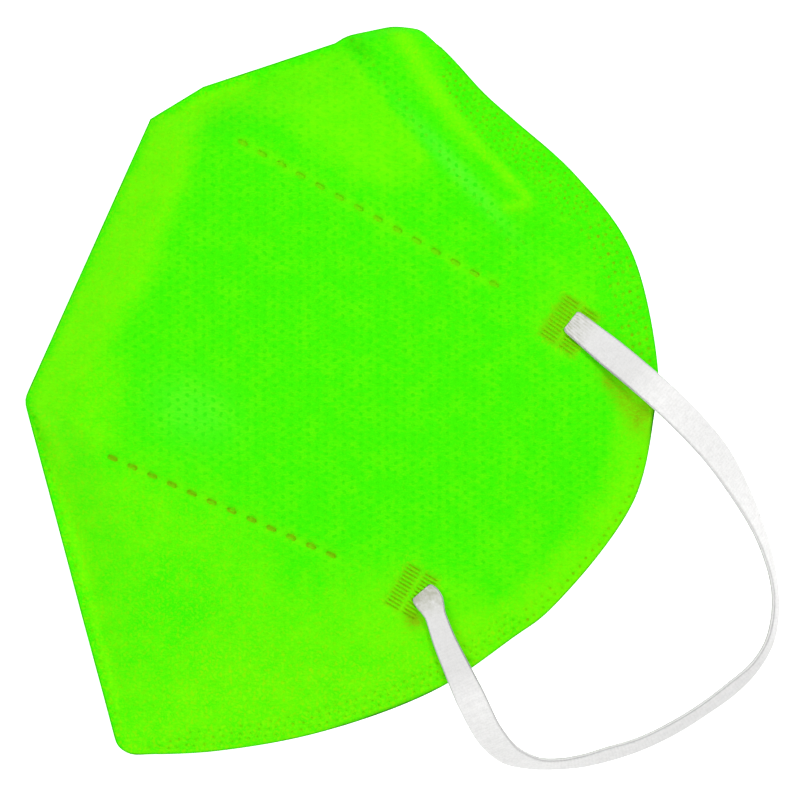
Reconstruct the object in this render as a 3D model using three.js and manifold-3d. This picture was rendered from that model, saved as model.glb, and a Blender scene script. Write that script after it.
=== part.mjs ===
// A fold-flat respirator mask with two ear loops, folded in half along its front and lying on its side.
// Millimetres and degrees. X runs from the folded front to the face edge, Y up the front towards the nose,
// Z up from the surface it lies on. The tables count X and Y from the foot of the front fold, and the
// heights of the cloth from the middle plane between the two halves.
import * as THREE from "three";
import { mergeVertices } from "three/addons/utils/BufferGeometryUtils.js";
import Module from "manifold-3d";

// The cloth and how the folded mask lies
const WALL = 1.5; // laminated cloth
const SEAM = 1.6; // both halves pressed together along a weld
const FOLD_ROUND = 0.4; // how far both faces draw back from the line of the folded front
const BLEND = 2; // how softly the front slope turns into the panel
const REST_DEPTH = 12; // middle plane above the surface
const FLATTENED = 0.4; // band over which the lower half rolls on to the surface
const FAR_SAG = 0.5; // how much fuller the lower half is, before it is flattened
const FAR_LIP = 0.65; // height of the lower half's face edge, as a share of the upper one's

// The hollow for the face
const HOLLOW_BLUNT = 0.25; // half its thickness where it starts
const HOLLOW_FADE = 2.5; // how fast the cloth thins to its wall from there
const HOLLOW_TOP = 1; // rib where the mouth closes at the nose
const HOLLOW_FOOT = 13.4; // rib where it closes at the chin
const HOLLOW_TAPER = 0.9; // ribs over which it closes
const MOUTH_REACH = 4; // how far it is cut past the face edge

// Facets: columns from front to face edge, rows from nose to chin, crowding of columns towards the front
const OUTER_GRID = { columns: 24, rows: 44, crowding: 1.4 };
const HOLLOW_GRID = { columns: 12, rows: 32, crowding: 1.2 };
const SLOPE_STEP = 0.2; // step that finds the slope of the cloth

// Each rib crosses a half from the joined front to the face edge. flange: pressed weld beside the front.
// inset: where the hollow starts. slope: rise of the cloth off the front. start, crown, lip: height of the
// panel at the front, half way across and at the face edge.
const RIB_COLUMNS = "frontX frontY edgeX edgeY flange inset slope start crown lip".split(" ");
const RIBS = {
  nose_tip: [41.4, 100, 43.2, 99.8, 0, 1.2, 2.2, 2, 2.2, 2.2],
  nose_fold: [36.6, 98.4, 50, 97.3, 0, 6.2, 1.6, 4.6, 5, 4.9],
  nose_foot: [29, 92.9, 59, 93.4, 0, 7, 1.3, 5.6, 6.3, 5.2],
  seam_top: [27.5, 90.6, 66, 91.2, 2.4, 7, 0.75, 5.6, 7, 5.3],
  seam_middle: [17.5, 81.4, 82, 86.1, 4.2, 7.5, 0.62, 6.2, 8.8, 5.6],
  seam_bend: [7, 71.8, 98.5, 76.8, 4, 7, 0.66, 7, 10.7, 5.8],
  upper_weld: [3.3, 66.4, 113.6, 56.3, 2.6, 5.5, 0.8, 7.4, 12.2, 6],
  fold_top: [0, 61.6, 115.4, 51, 0, 3.5, 0.85, 7.6, 12.4, 6.2],
  fold_middle: [0, 31, 119.3, 31.5, 0, 3.5, 0.85, 7.8, 12.5, 6.5],
  fold_foot: [0, 0, 113, 5, 0, 3.5, 0.85, 7.6, 12.3, 6.2],
  lower_weld: [2.5, -3.1, 108.7, -2.9, 2.4, 5.2, 0.8, 7.2, 11.9, 6],
  chin_top: [15.5, -19, 98.9, -18.8, 4.2, 7.5, 0.6, 5.6, 9.2, 5.2],
  chin_middle: [28.5, -35, 81.6, -35.9, 4.2, 7.5, 0.5, 4, 5.6, 4],
  chin_low: [38.5, -47.2, 64, -48.1, 4, 7.5, 0.45, 3, 3.6, 3],
  chin_tip: [45.4, -55.7, 48.6, -56.1, 1, 2, 0.5, 1, 1.2, 1.2],
};

// The nose wire runs in a pocket raised on both halves, from one cheek over the nose fold to the other.
const WIRE = { width: 4, thickness: 0.8, clearance: 0.3 };
const WIRE_BRIDGE = 1.45; // rib where it crosses the nose fold
const WIRE_CHEEK = [75, 73.8]; // where it ends on each half
const WIRE_STATIONS = 13; // on each half
const TAIL_STATIONS = 3; // past each end of the wire
const WIRE_CROWDING = 2; // of those stations towards the nose fold
const POCKET = { foot: 9.2, shoulder: 6.4, top: 4.6, height: 1.4, sunk: 0.9, bridgeHeight: 0.4 };
const SHOULDER_SHARE = 0.72; // height of the pocket's shoulder, as a share of its top
const POCKET_SKIN = 0.75; // cloth over the wire
const POCKET_RISE = 9; // distance from the nose fold over which the pocket reaches its height
const POCKET_END = 5; // length over which it fades at the cheek
const SLIT_REACH = 4; // how far the pocket's slit into the hollow lies past the wire
const SLIT_DEPTH = 3;

// Ear loops: flat elastic, welded to the cloth at both ends. Each route runs from the upper to the lower
// weld. tilt: 0 lies flat, 90 stands on edge, plus lifts the edge on the right hand. clear: height of its
// lower edge over the surface. Rows with no tilt lie on the cloth.
const TAPE = { width: 6, thickness: 0.9, corner: 0.3 };
const TAPE_GAP = 0.3; // from tape to cloth
const TAPE_STEPS = 2; // for each row of a route
const LEFT_LOOP = [
  { x: 93, y: 59.1 },
  { x: 100.9, y: 57 },
  { x: 108.4, y: 55 },
  { x: 116.1, y: 52.7, tilt: 4, clear: 18.3 },
  { x: 123.9, y: 49.9, tilt: 10, clear: 14.9 },
  { x: 131.1, y: 46.7, tilt: 24, clear: 9.6 },
  { x: 137.5, y: 42.7, tilt: 44, clear: 4.6 },
  { x: 143.6, y: 38, tilt: 62, clear: 1.2 },
  { x: 148.8, y: 32.8, tilt: 73, clear: 0.1 },
  { x: 152.9, y: 27.2, tilt: 79, clear: 0.1 },
  { x: 155.4, y: 21.7, tilt: 77, clear: 0.1 },
  { x: 156.4, y: 16.4, tilt: 74, clear: 0.1 },
  { x: 155.7, y: 11, tilt: 70, clear: 0.1 },
  { x: 153.4, y: 5.4, tilt: 63, clear: 0.1 },
  { x: 149.8, y: -1, tilt: 65, clear: 0.1 },
  { x: 145.6, y: -7.2, tilt: 64, clear: 0.1 },
  { x: 140.9, y: -12.7, tilt: 64, clear: 0.1 },
  { x: 136.2, y: -16.9, tilt: 62, clear: 0.1 },
  { x: 132, y: -20.3, tilt: 66, clear: 0.1 },
  { x: 127.8, y: -22.9, tilt: 70, clear: 0.1 },
  { x: 123.2, y: -24.8, tilt: 66, clear: 0.6 },
  { x: 118.1, y: -25.2, tilt: 44, clear: 4.4 },
  { x: 112.4, y: -22.9, tilt: 20, clear: 10.1 },
  { x: 106.7, y: -18.4, tilt: 6, clear: 15.4 },
  { x: 100.9, y: -13.4 },
  { x: 96, y: -9 },
  { x: 92.2, y: -5 },
  { x: 90.2, y: -3.2 },
  { x: 88, y: -2.2 },
];
const RIGHT_LOOP = [
  { x: 93.4, y: 59 },
  { x: 96.6, y: 58.2 },
  { x: 99.6, y: 57 },
  { x: 104.3, y: 53.5, tilt: -28, clear: 0.6 },
  { x: 107.7, y: 48.4, tilt: -44, clear: 0.1 },
  { x: 109.8, y: 41.8, tilt: -52, clear: 0.1 },
  { x: 110.7, y: 34.8, tilt: -54, clear: 0.1 },
  { x: 110.6, y: 27.5, tilt: -54, clear: 0.1 },
  { x: 109.7, y: 20, tilt: -54, clear: 0.1 },
  { x: 107.8, y: 12.5, tilt: -54, clear: 0.1 },
  { x: 105, y: 5, tilt: -55, clear: 0.1 },
  { x: 101.5, y: -2.5, tilt: -56, clear: 0.1 },
  { x: 97.5, y: -9.8, tilt: -57, clear: 0.1 },
  { x: 93.1, y: -16.7, tilt: -57, clear: 0.1 },
  { x: 88.4, y: -23.4, tilt: -56, clear: 0.1 },
  { x: 83.2, y: -29.7, tilt: -55, clear: 0.1 },
  { x: 77.6, y: -35.3, tilt: -54, clear: 0.1 },
  { x: 71.5, y: -38.8, tilt: -50, clear: 0.1 },
  { x: 64.6, y: -39, tilt: -44, clear: 0.1 },
  { x: 58.6, y: -35.6, tilt: -36, clear: 0.1 },
  { x: 55.2, y: -29.6, tilt: -26, clear: 0.1 },
  { x: 55.4, y: -22.8, tilt: -10, clear: 0.1 },
  { x: 59.1, y: -17.1, tilt: 2, clear: 0.1 },
  { x: 65.2, y: -14, tilt: 4, clear: 0.1 },
  { x: 72, y: -12.6, tilt: 2, clear: 0.1 },
  { x: 78.4, y: -10.7, tilt: 1, clear: 0.5 },
  { x: 83.4, y: -7.4 },
  { x: 86.6, y: -4 },
  { x: 88.6, y: -1.6 },
];

const GREEN = 0x54fb05;
const WHITE = 0xf0f0ee;
const ALUMINIUM = 0xb4b8bc;

const wasm = await Module();
wasm.setup();

const ribs = Object.values(RIBS).map((row) =>
  Object.fromEntries(RIB_COLUMNS.map((column, i) => [column, row[i]])),
);
const lastRib = ribs.length - 1;
const edgeCurve = new THREE.CatmullRomCurve3(ribs.map((rib) => new THREE.Vector3(rib.edgeX, rib.edgeY, 0)));

// Distance from the nose tip to each rib, half way across, which spaces the rows of facets
const ribDistances = ribs.map(() => 0);
for (let i = 1; i <= lastRib; i++) {
  const acrossFront = Math.hypot(ribs[i].frontX - ribs[i - 1].frontX, ribs[i].frontY - ribs[i - 1].frontY);
  const acrossEdge = Math.hypot(ribs[i].edgeX - ribs[i - 1].edgeX, ribs[i].edgeY - ribs[i - 1].edgeY);
  ribDistances[i] = ribDistances[i - 1] + (acrossFront + acrossEdge) / 2;
}

// The rib number at a share of that distance, between two rib numbers
function ribAtShare(share, from, to) {
  const distanceAt = (rib) => {
    const below = Math.min(Math.floor(rib), lastRib - 1);
    return THREE.MathUtils.lerp(ribDistances[below], ribDistances[below + 1], rib - below);
  };
  const wanted = THREE.MathUtils.lerp(distanceAt(from), distanceAt(to), share);
  const next = Math.min(Math.max(ribDistances.findIndex((d) => d >= wanted), 1), lastRib);
  const gap = ribDistances[next] - ribDistances[next - 1];
  return next - 1 + (wanted - ribDistances[next - 1]) / gap;
}

// A column of the table between two ribs: in a straight line, or eased so that no crease shows at a rib
function straight(column, rib) {
  const below = Math.min(Math.floor(rib), lastRib - 1);
  return THREE.MathUtils.lerp(ribs[below][column], ribs[below + 1][column], rib - below);
}

function eased(column, rib) {
  const below = Math.min(Math.floor(rib), lastRib - 1);
  const value = (i) => ribs[THREE.MathUtils.clamp(i, 0, lastRib)][column];
  const [before, start, end, after] = [value(below - 1), value(below), value(below + 1), value(below + 2)];
  const k = rib - below;
  const leave = (end - before) / 2;
  const arrive = (after - start) / 2;
  const bend = 3 * (end - start) - 2 * leave - arrive;
  const twist = 2 * (start - end) + leave + arrive;
  return start + k * (leave + k * (bend + k * twist));
}

// Both ends of a rib and its length, in plan
function ribLine(rib) {
  const front = new THREE.Vector2(straight("frontX", rib), straight("frontY", rib));
  const point = edgeCurve.getPoint(rib / lastRib);
  const edge = new THREE.Vector2(point.x, point.y);
  return { front, edge, length: front.distanceTo(edge) };
}

function smoothMin(a, b, range) {
  const share = THREE.MathUtils.clamp(0.5 + (b - a) / (2 * range), 0, 1);
  return THREE.MathUtils.lerp(b, a, share) - range * share * (1 - share);
}

// Height of the outer face over the middle plane at a distance along a rib. half is 1 on the upper half
// and -1 on the lower one, which is fuller, has a lower face edge and is flattened where it lies.
function outerHeight(half, rib, distance, length) {
  const k = Math.min(distance / length, 1);
  const start = eased("start", rib);
  const crown = eased("crown", rib) + (half < 0 ? FAR_SAG : 0);
  const lip = eased("lip", rib) * (half < 0 ? FAR_LIP : 1);
  const panel = start * (1 - k) * (1 - 2 * k) + crown * 4 * k * (1 - k) + lip * k * (2 * k - 1);
  const offFront = Math.max(distance - straight("flange", rib), 0);
  const height = smoothMin(SEAM / 2 + eased("slope", rib) * offFront, panel, BLEND);
  if (half > 0 || height < REST_DEPTH - FLATTENED) return height;
  if (height > REST_DEPTH + FLATTENED) return REST_DEPTH;
  return REST_DEPTH - (REST_DEPTH + FLATTENED - height) ** 2 / (4 * FLATTENED);
}

// Height of the hollow over the middle plane
function hollowHeight(half, rib, distance, length) {
  const inset = straight("inset", rib);
  const extra = outerHeight(half, rib, inset, length) - WALL;
  const thickness = WALL + extra * Math.exp(-(distance - inset) / HOLLOW_FADE);
  const fromEnd = Math.min(rib - HOLLOW_TOP, HOLLOW_FOOT - rib);
  const closing = THREE.MathUtils.smoothstep(fromEnd, 0, HOLLOW_TAPER);
  return Math.max((outerHeight(half, rib, distance, length) - thickness) * closing, HOLLOW_BLUNT);
}

// The rib and the distance along it that lie over a point of the plan
function ribOver(x, y) {
  let above = 0;
  let below = lastRib;
  for (let i = 0; i < 30; i++) {
    const rib = (above + below) / 2;
    const { front, edge } = ribLine(rib);
    const side = (edge.x - front.x) * (y - front.y) - (edge.y - front.y) * (x - front.x);
    if (side > 0) below = rib;
    else above = rib;
  }
  const rib = (above + below) / 2;
  const { front, length } = ribLine(rib);
  return { rib, length, distance: Math.hypot(x - front.x, y - front.y) };
}

// Height of the outer face over the middle plane, and its outward direction, at a point of the plan
function clothHeight(half, x, y) {
  const { rib, distance, length } = ribOver(x, y);
  return outerHeight(half, rib, distance, length);
}

function clothNormal(half, x, y) {
  const height = clothHeight(half, x, y);
  const riseX = (clothHeight(half, x + SLOPE_STEP, y) - height) / SLOPE_STEP;
  const riseY = (clothHeight(half, x, y + SLOPE_STEP) - height) / SLOPE_STEP;
  return new THREE.Vector3(-riseX, -riseY, half).normalize();
}

// Keeps only positions and joins the shared corners
function weld(geometry) {
  geometry.deleteAttribute("normal");
  geometry.deleteAttribute("uv");
  return mergeVertices(geometry, 1e-4);
}

function toSolid(geometry) {
  const welded = weld(geometry);
  const vertProperties = new Float32Array(welded.attributes.position.array);
  const triVerts = new Uint32Array(welded.index.array);
  return new wasm.Manifold(new wasm.Mesh({ numProp: 3, vertProperties, triVerts }));
}

function toGeometry(solid) {
  const mesh = solid.getMesh();
  const geometry = new THREE.BufferGeometry();
  geometry.setAttribute("position", new THREE.BufferAttribute(mesh.vertProperties, 3));
  geometry.setIndex(new THREE.BufferAttribute(mesh.triVerts, 1));
  return geometry;
}

// Moves every corner of a geometry to where place puts it
function reshape(geometry, place) {
  const positions = geometry.attributes.position;
  const corner = new THREE.Vector3();
  for (let i = 0; i < positions.count; i++) {
    const moved = place(corner.fromBufferAttribute(positions, i));
    positions.setXYZ(i, moved.x, moved.y, moved.z);
  }
  return geometry;
}

// A gridded unit box whose corners become shares: along a rib, from nose to chin, and -1, 0 or 1 for the half
function gridBox(grid, place) {
  const box = new THREE.BoxGeometry(1, 1, 1, grid.columns, grid.rows, 2);
  return reshape(box, (corner) => {
    const along = (corner.x + 0.5) ** grid.crowding;
    return place(along, 0.5 - corner.y, Math.sign(Math.round(corner.z * 4)));
  });
}

// The outside of both halves with the mouth still closed
function outerCloth() {
  return gridBox(OUTER_GRID, (along, down, half) => {
    const rib = ribAtShare(down, 0, lastRib);
    const { front, edge, length } = ribLine(rib);
    const distance = half !== 0 && along === 0 ? FOLD_ROUND : along * length;
    const point = front.clone().lerp(edge, distance / length);
    const height = half === 0 ? 0 : half * outerHeight(half, rib, distance, length);
    return new THREE.Vector3(point.x, point.y, height);
  });
}

// The hollow, cut out past the face edge
function hollow() {
  return gridBox(HOLLOW_GRID, (along, down, half) => {
    const rib = ribAtShare(down, HOLLOW_TOP, HOLLOW_FOOT);
    const { front, edge, length } = ribLine(rib);
    const inset = straight("inset", rib);
    const distance = THREE.MathUtils.lerp(inset, length + MOUTH_REACH, along);
    const point = front.clone().lerp(edge, distance / length);
    const height = half === 0 ? 0 : half * hollowHeight(half, rib, Math.min(distance, length), length);
    return new THREE.Vector3(point.x, point.y, height);
  });
}

// Stations of the nose wire from the upper cheek over the nose fold to the lower cheek, and on past both ends
// of the wire by a tail: a point on the cloth, the outward direction there, the height that the pocket rises
// to, and how far past the wire's end it lies
function wireStations(tail) {
  const bridge = ribLine(WIRE_BRIDGE).front;
  const cheek = new THREE.Vector2(...WIRE_CHEEK);
  const run = bridge.distanceTo(cheek);
  const along = cheek.clone().sub(bridge).normalize();
  const distances = [];
  for (let i = 1; i <= WIRE_STATIONS; i++) distances.push(run * (i / WIRE_STATIONS) ** WIRE_CROWDING);
  if (tail > 0) for (let i = 1; i <= TAIL_STATIONS; i++) distances.push(run + (tail * i) / TAIL_STATIONS);
  const station = (half, distance) => {
    const plan = bridge.clone().addScaledVector(along, distance);
    const rise = THREE.MathUtils.smoothstep(distance, 0, POCKET_RISE);
    const raised = THREE.MathUtils.lerp(POCKET.bridgeHeight, POCKET.height, rise);
    const point = new THREE.Vector3(plan.x, plan.y, half * clothHeight(half, plan.x, plan.y));
    return { point, outward: clothNormal(half, plan.x, plan.y), raised, past: distance - run };
  };
  const foldLine = ribLine(WIRE_BRIDGE - 0.1).front.sub(ribLine(WIRE_BRIDGE + 0.1).front).normalize();
  const offFold = new THREE.Vector3(-foldLine.y, foldLine.x, 0);
  const onFold = { point: new THREE.Vector3(bridge.x, bridge.y, 0), outward: offFold };
  return [
    ...distances.toReversed().map((distance) => station(1, distance)),
    { ...onFold, raised: POCKET.bridgeHeight, past: -run },
    ...distances.map((distance) => station(-1, distance)),
  ];
}

// Bends a straight bar of a regular section through stations of { point, outward, outline }. Each outline
// lists the section's corners there as [across, outwards].
function sweep(stations, sides) {
  const corners = Array.from({ length: sides }, (_, i) => {
    const turn = (2 * Math.PI * i) / sides;
    return new THREE.Vector2(Math.cos(turn), Math.sin(turn));
  });
  const steps = stations.length - 1;
  const section = new THREE.Shape(corners);
  const straightBar = new THREE.ExtrudeGeometry(section, { depth: steps, steps, bevelEnabled: false });
  return reshape(straightBar, (corner) => {
    const index = Math.round(corner.z);
    const station = stations[index];
    const before = stations[Math.max(index - 1, 0)].point;
    const after = stations[Math.min(index + 1, steps)].point;
    const ahead = after.clone().sub(before).normalize();
    const across = station.outward.clone().cross(ahead).normalize();
    const out = ahead.clone().cross(across);
    const turn = Math.atan2(corner.y, corner.x);
    const side = (Math.round((turn / (2 * Math.PI)) * sides) + sides) % sides;
    const [acrossBy, outBy] = station.outline[side];
    return station.point.clone().addScaledVector(across, acrossBy).addScaledVector(out, outBy);
  });
}

// Corners of a bar's section in the order that sweep takes them
function rectangle(width, thickness, middle) {
  const [w, t] = [width / 2, thickness / 2];
  return [
    [w, middle + t],
    [-w, middle + t],
    [-w, middle - t],
    [w, middle - t],
  ];
}

function wireMiddle(station) {
  return station.raised - POCKET_SKIN - WIRE.clearance - WIRE.thickness / 2;
}

// The pocket's raised back over the wire, fading into the cloth at the cheeks
function pocketRidge() {
  const stations = wireStations(POCKET_END).map((station) => {
    const fade = THREE.MathUtils.clamp(1 - station.past / POCKET_END, 0, 1);
    const top = THREE.MathUtils.lerp(-POCKET.sunk / 2, station.raised, fade);
    const foot = -POCKET.sunk;
    const shoulder = THREE.MathUtils.lerp(foot, top, SHOULDER_SHARE);
    const outline = [
      [POCKET.foot / 2, foot],
      [POCKET.shoulder / 2, shoulder],
      [POCKET.top / 2, top],
      [-POCKET.top / 2, top],
      [-POCKET.shoulder / 2, shoulder],
      [-POCKET.foot / 2, foot],
    ];
    return { ...station, outline };
  });
  return sweep(stations, 6);
}

// The channel for the wire. Past the wire's ends it dips through the cloth into the hollow.
function wireChannel() {
  const stations = wireStations(SLIT_REACH).map((station) => {
    const dip = THREE.MathUtils.clamp(station.past / SLIT_REACH, 0, 1) * SLIT_DEPTH;
    const width = WIRE.width + 2 * WIRE.clearance;
    const thickness = WIRE.thickness + 2 * WIRE.clearance;
    return { ...station, outline: rectangle(width, thickness, wireMiddle(station) - dip) };
  });
  return sweep(stations, 4);
}

function noseWire() {
  const stations = wireStations(0).map((station) => ({
    ...station,
    outline: rectangle(WIRE.width, WIRE.thickness, wireMiddle(station)),
  }));
  return sweep(stations, 4);
}

function maskBody() {
  const pouch = toSolid(outerCloth()).subtract(toSolid(hollow()));
  const pocketed = pouch.add(toSolid(pocketRidge())).subtract(toSolid(wireChannel()));
  // Slivers that the cuts leave where the pocket grazes the cloth are dropped
  const [whole] = pocketed.decompose().sort((a, b) => b.volume() - a.volume());
  return toGeometry(whole);
}

// A loop of flat elastic along a route, on the upper or lower half
function earLoop(route, half) {
  const plan = route.map(({ x, y }) => new THREE.Vector3(x, y, 0));
  const planCurve = new THREE.CatmullRomCurve3(plan);
  const upright = new THREE.Vector3(0, 0, 1);
  const rows = route.map((row, i) => {
    const rightHand = planCurve.getTangent(i / (route.length - 1)).cross(upright);
    if (row.tilt === undefined) {
      const reach = TAPE.width / 2;
      const level = (share) =>
        half * clothHeight(half, row.x + rightHand.x * reach * share, row.y + rightHand.y * reach * share);
      const tilt = Math.atan2(level(1) - level(-1), TAPE.width);
      return { tilt, z: level(0) + half * (TAPE_GAP + TAPE.thickness / 2) };
    }
    const tilt = THREE.MathUtils.degToRad(row.tilt);
    const below = (TAPE.width * Math.abs(Math.sin(tilt)) + TAPE.thickness * Math.cos(tilt)) / 2;
    return { tilt, z: row.clear + below - REST_DEPTH };
  });
  const curve = new THREE.CatmullRomCurve3(rows.map((row, i) => plan[i].clone().setZ(row.z)));
  const steps = TAPE_STEPS * (route.length - 1);
  const stations = [];
  for (let i = 0; i <= steps; i++) {
    const share = i / steps;
    const place = share * (route.length - 1);
    const row = Math.min(Math.floor(place), route.length - 2);
    const tilt = THREE.MathUtils.lerp(rows[row].tilt, rows[row + 1].tilt, place - row);
    const ahead = curve.getTangent(share);
    const rightHand = ahead.clone().cross(upright).normalize();
    const level = rightHand.clone().cross(ahead);
    const outward = level.multiplyScalar(Math.cos(tilt)).addScaledVector(rightHand, -Math.sin(tilt));
    stations.push({ point: curve.getPoint(share), outward, outline: tapeSection() });
  }
  return sweep(stations, 8);
}

function tapeSection() {
  const [w, t] = [TAPE.width / 2, TAPE.thickness / 2];
  const corner = TAPE.corner;
  return [
    [w, t - corner],
    [w - corner, t],
    [corner - w, t],
    [-w, t - corner],
    [-w, corner - t],
    [corner - w, -t],
    [w - corner, -t],
    [w, corner - t],
  ];
}

function piece(name, geometry, color, roughness, metalness) {
  const mesh = new THREE.Mesh(geometry, new THREE.MeshStandardMaterial({ color, roughness, metalness }));
  mesh.name = name;
  return mesh;
}

const body = piece("mask_body", maskBody(), GREEN, 0.8, 0);
const mask = new THREE.Group();
mask.add(body);
mask.add(piece("nose_wire", noseWire(), ALUMINIUM, 0.4, 1));
mask.add(piece("ear_loop_left", earLoop(LEFT_LOOP, 1), WHITE, 0.85, 0));
mask.add(piece("ear_loop_right", earLoop(RIGHT_LOOP, -1), WHITE, 0.85, 0));

// The origin is on the surface, under the middle of the cloth
const clothBox = new THREE.Box3().setFromObject(body);
const middle = clothBox.getCenter(new THREE.Vector3());
mask.children.forEach((child) => child.position.set(-middle.x, -middle.y, -clothBox.min.z));

export default mask;
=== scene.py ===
"""Looks of a fold-flat respirator mask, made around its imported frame.

The mask lies on its side, folded in half along its front. Shapes are worked out in millimetres, with X and Y
counted from the foot of the front fold and heights from the middle plane between the two halves, and are put
into the frame, in metres, at the end.
"""

import math

import bpy
import numpy as np
from bpy.props import FloatProperty, FloatVectorProperty, IntProperty, PointerProperty
from mathutils import Matrix, Vector
from mathutils.geometry import delaunay_2d_cdt
from mathutils.kdtree import KDTree


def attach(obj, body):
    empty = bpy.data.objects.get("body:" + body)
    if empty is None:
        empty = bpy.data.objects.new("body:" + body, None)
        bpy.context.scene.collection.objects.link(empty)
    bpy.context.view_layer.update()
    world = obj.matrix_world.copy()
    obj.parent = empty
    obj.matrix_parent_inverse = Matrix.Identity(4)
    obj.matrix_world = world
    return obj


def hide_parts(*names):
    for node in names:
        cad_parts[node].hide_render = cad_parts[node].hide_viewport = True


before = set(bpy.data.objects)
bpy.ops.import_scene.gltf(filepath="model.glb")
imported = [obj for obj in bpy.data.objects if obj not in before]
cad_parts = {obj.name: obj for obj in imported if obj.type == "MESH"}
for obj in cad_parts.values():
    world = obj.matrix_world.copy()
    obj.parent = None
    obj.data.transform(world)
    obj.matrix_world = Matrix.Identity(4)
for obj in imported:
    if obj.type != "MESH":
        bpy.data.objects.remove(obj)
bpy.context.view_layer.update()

bl_info = {
    "name": "Respirator Mask",
    "version": (1, 0, 0),
    "blender": (4, 5, 0),
    "location": "3D View > Sidebar > Mask",
    "description": "Makes the cloth, the ear loops and the stage of a folded respirator mask",
    "category": "Object",
}

MM = 0.001
FOLD_FOOT = np.array([-59.64, -21.95, 12.0])  # where the tables' zero lies in the frame

# The folded cloth. Each rib crosses a half from the joined front to the face edge. flange: pressed weld
# beside the front. slope: rise of the cloth off the front. start, crown, lip: height of the panel at the
# front, half way across and at the face edge.
RIB_COLUMNS = "front_x front_y edge_x edge_y flange slope start crown lip".split()
RIBS = {
    "nose_tip": (41.4, 100, 43.2, 99.8, 0, 2.2, 2, 2.2, 2.2),
    "nose_fold": (36.6, 98.4, 50, 97.3, 0, 1.6, 4.6, 5, 4.9),
    "nose_foot": (29, 92.9, 59, 93.4, 0, 1.3, 5.6, 6.3, 5.2),
    "seam_top": (27.5, 90.6, 66, 91.2, 2.4, 0.75, 5.6, 7, 5.3),
    "seam_middle": (17.5, 81.4, 82, 86.1, 4.2, 0.62, 6.2, 8.8, 5.6),
    "seam_bend": (7, 71.8, 98.5, 76.8, 4, 0.66, 7, 10.7, 5.8),
    "upper_weld": (3.3, 66.4, 113.6, 56.3, 2.6, 0.8, 7.4, 12.2, 6),
    "fold_top": (0, 61.6, 115.4, 51, 0, 0.85, 7.6, 12.4, 6.2),
    "fold_middle": (0, 31, 119.3, 31.5, 0, 0.85, 7.8, 12.5, 6.5),
    "fold_foot": (0, 0, 113, 5, 0, 0.85, 7.6, 12.3, 6.2),
    "lower_weld": (2.5, -3.1, 108.7, -2.9, 2.4, 0.8, 7.2, 11.9, 6),
    "chin_top": (15.5, -19, 98.9, -18.8, 4.2, 0.6, 5.6, 9.2, 5.2),
    "chin_middle": (28.5, -35, 81.6, -35.9, 4.2, 0.5, 4, 5.6, 4),
    "chin_low": (38.5, -47.2, 64, -48.1, 4, 0.45, 3, 3.6, 3),
    "chin_tip": (45.4, -55.7, 48.6, -56.1, 1, 0.5, 1, 1.2, 1.2),
}
RIB_TABLE = dict(zip(RIB_COLUMNS, np.array(list(RIBS.values()), float).T))
LAST_RIB = len(RIBS) - 1
RIB_HALVINGS = 26  # of the search for the rib over a point
RIB_SAMPLES = 40  # of the outline between two ribs, to measure it
SEAM = 1.6  # both halves pressed together along a weld
REST_DEPTH = 12.0  # middle plane above the surface
FLATTENED = 0.4  # band over which the lower half rolls on to the surface
FAR_SAG = 0.5  # how much fuller the lower half is, before it is flattened
FAR_LIP = 0.65  # height of the lower half's face edge, as a share of the upper one's
RIM = 0.4  # rounding of the folded front and of the cut edges
EDGE_WALL = 0.8  # cloth where the face edge is pressed
EDGE_BAND = 6.0  # width of that pressing
HOLLOW_RIBS = (0.5, 13.7)  # where the mouth closes at the nose and at the chin
HOLLOW_CLOSING = 0.8  # ribs over which it closes
CLOTH_SPACING = 1.0  # of the mesh's even points, outside
LATTICE_MARGIN = 1.5  # from the outline to those points
EDGE_ROWS = (0.45, 1.0)  # rows of points between them and the outline
EDGE_MARGIN = 0.3  # from the outline to any of them
WELD_MARGIN = 0.15  # and to the points of the welds
WELD_CLEARANCE = 0.42  # from the points of the welds to all others
TIP_PIECES = 3  # of the outline across the nose tip and the chin tip
SAME_POINT = 1e-6  # distance at which two points are one
FILL_INSIDE = 1  # kind of triangulation: all that lies inside the outline
LINING_SPACING = 2.0  # of the mesh's even points, inside
LINING_MARGIN = 1.2  # from the lining's outline to those points
LINING_BLUNT = 0.05  # least height of the lining over the middle plane
LINING_RISE = 2.5  # distance over which the two linings part
MEETING_RIBS = 150  # that draw the line where they meet
MEETING_INSET = 0.6  # of that line, past where the wall fills the slope
MEETING_MARGIN = 0.5  # from that line to the outline
RIM_STEPS = 4
OUTER_SLOT = 0  # of the two materials of the cloth's mesh
LINING_SLOT = 1
# Painted shade at the rims, and along stretches of the face edge
RIM_SHADE = (0.6, 0.9, 0.5, 0.25)  # how dark the rim is at each step
SHADED_EDGES = ((7.2, 0.25, 1.2), (11.45, 0.45, 1.2))  # darker stretches of the face edge: rib, reach, darkness
CORNER_PASSES = 2  # of smoothing, which round the corners at the nose and the chin
CORNER_RIBS = (2.5, 12.5)  # the last rib of the nose that is rounded, and the first of the chin
FOOT_RIBS = (8.9, 10.1)  # the ribs of the front between which the foot of the fold is rounded
# Slow unevenness of the cloth: two waves, each as radians a millimetre along x and y and a start, and the
# height of their product
WAVES = (
    ((0.19, 0.11, 0.4), (0.09, -0.17, 1.3), 0.1),
    ((0.33, -0.21, 0), (0.14, 0.29, 2.1), 0.06),
)

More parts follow.
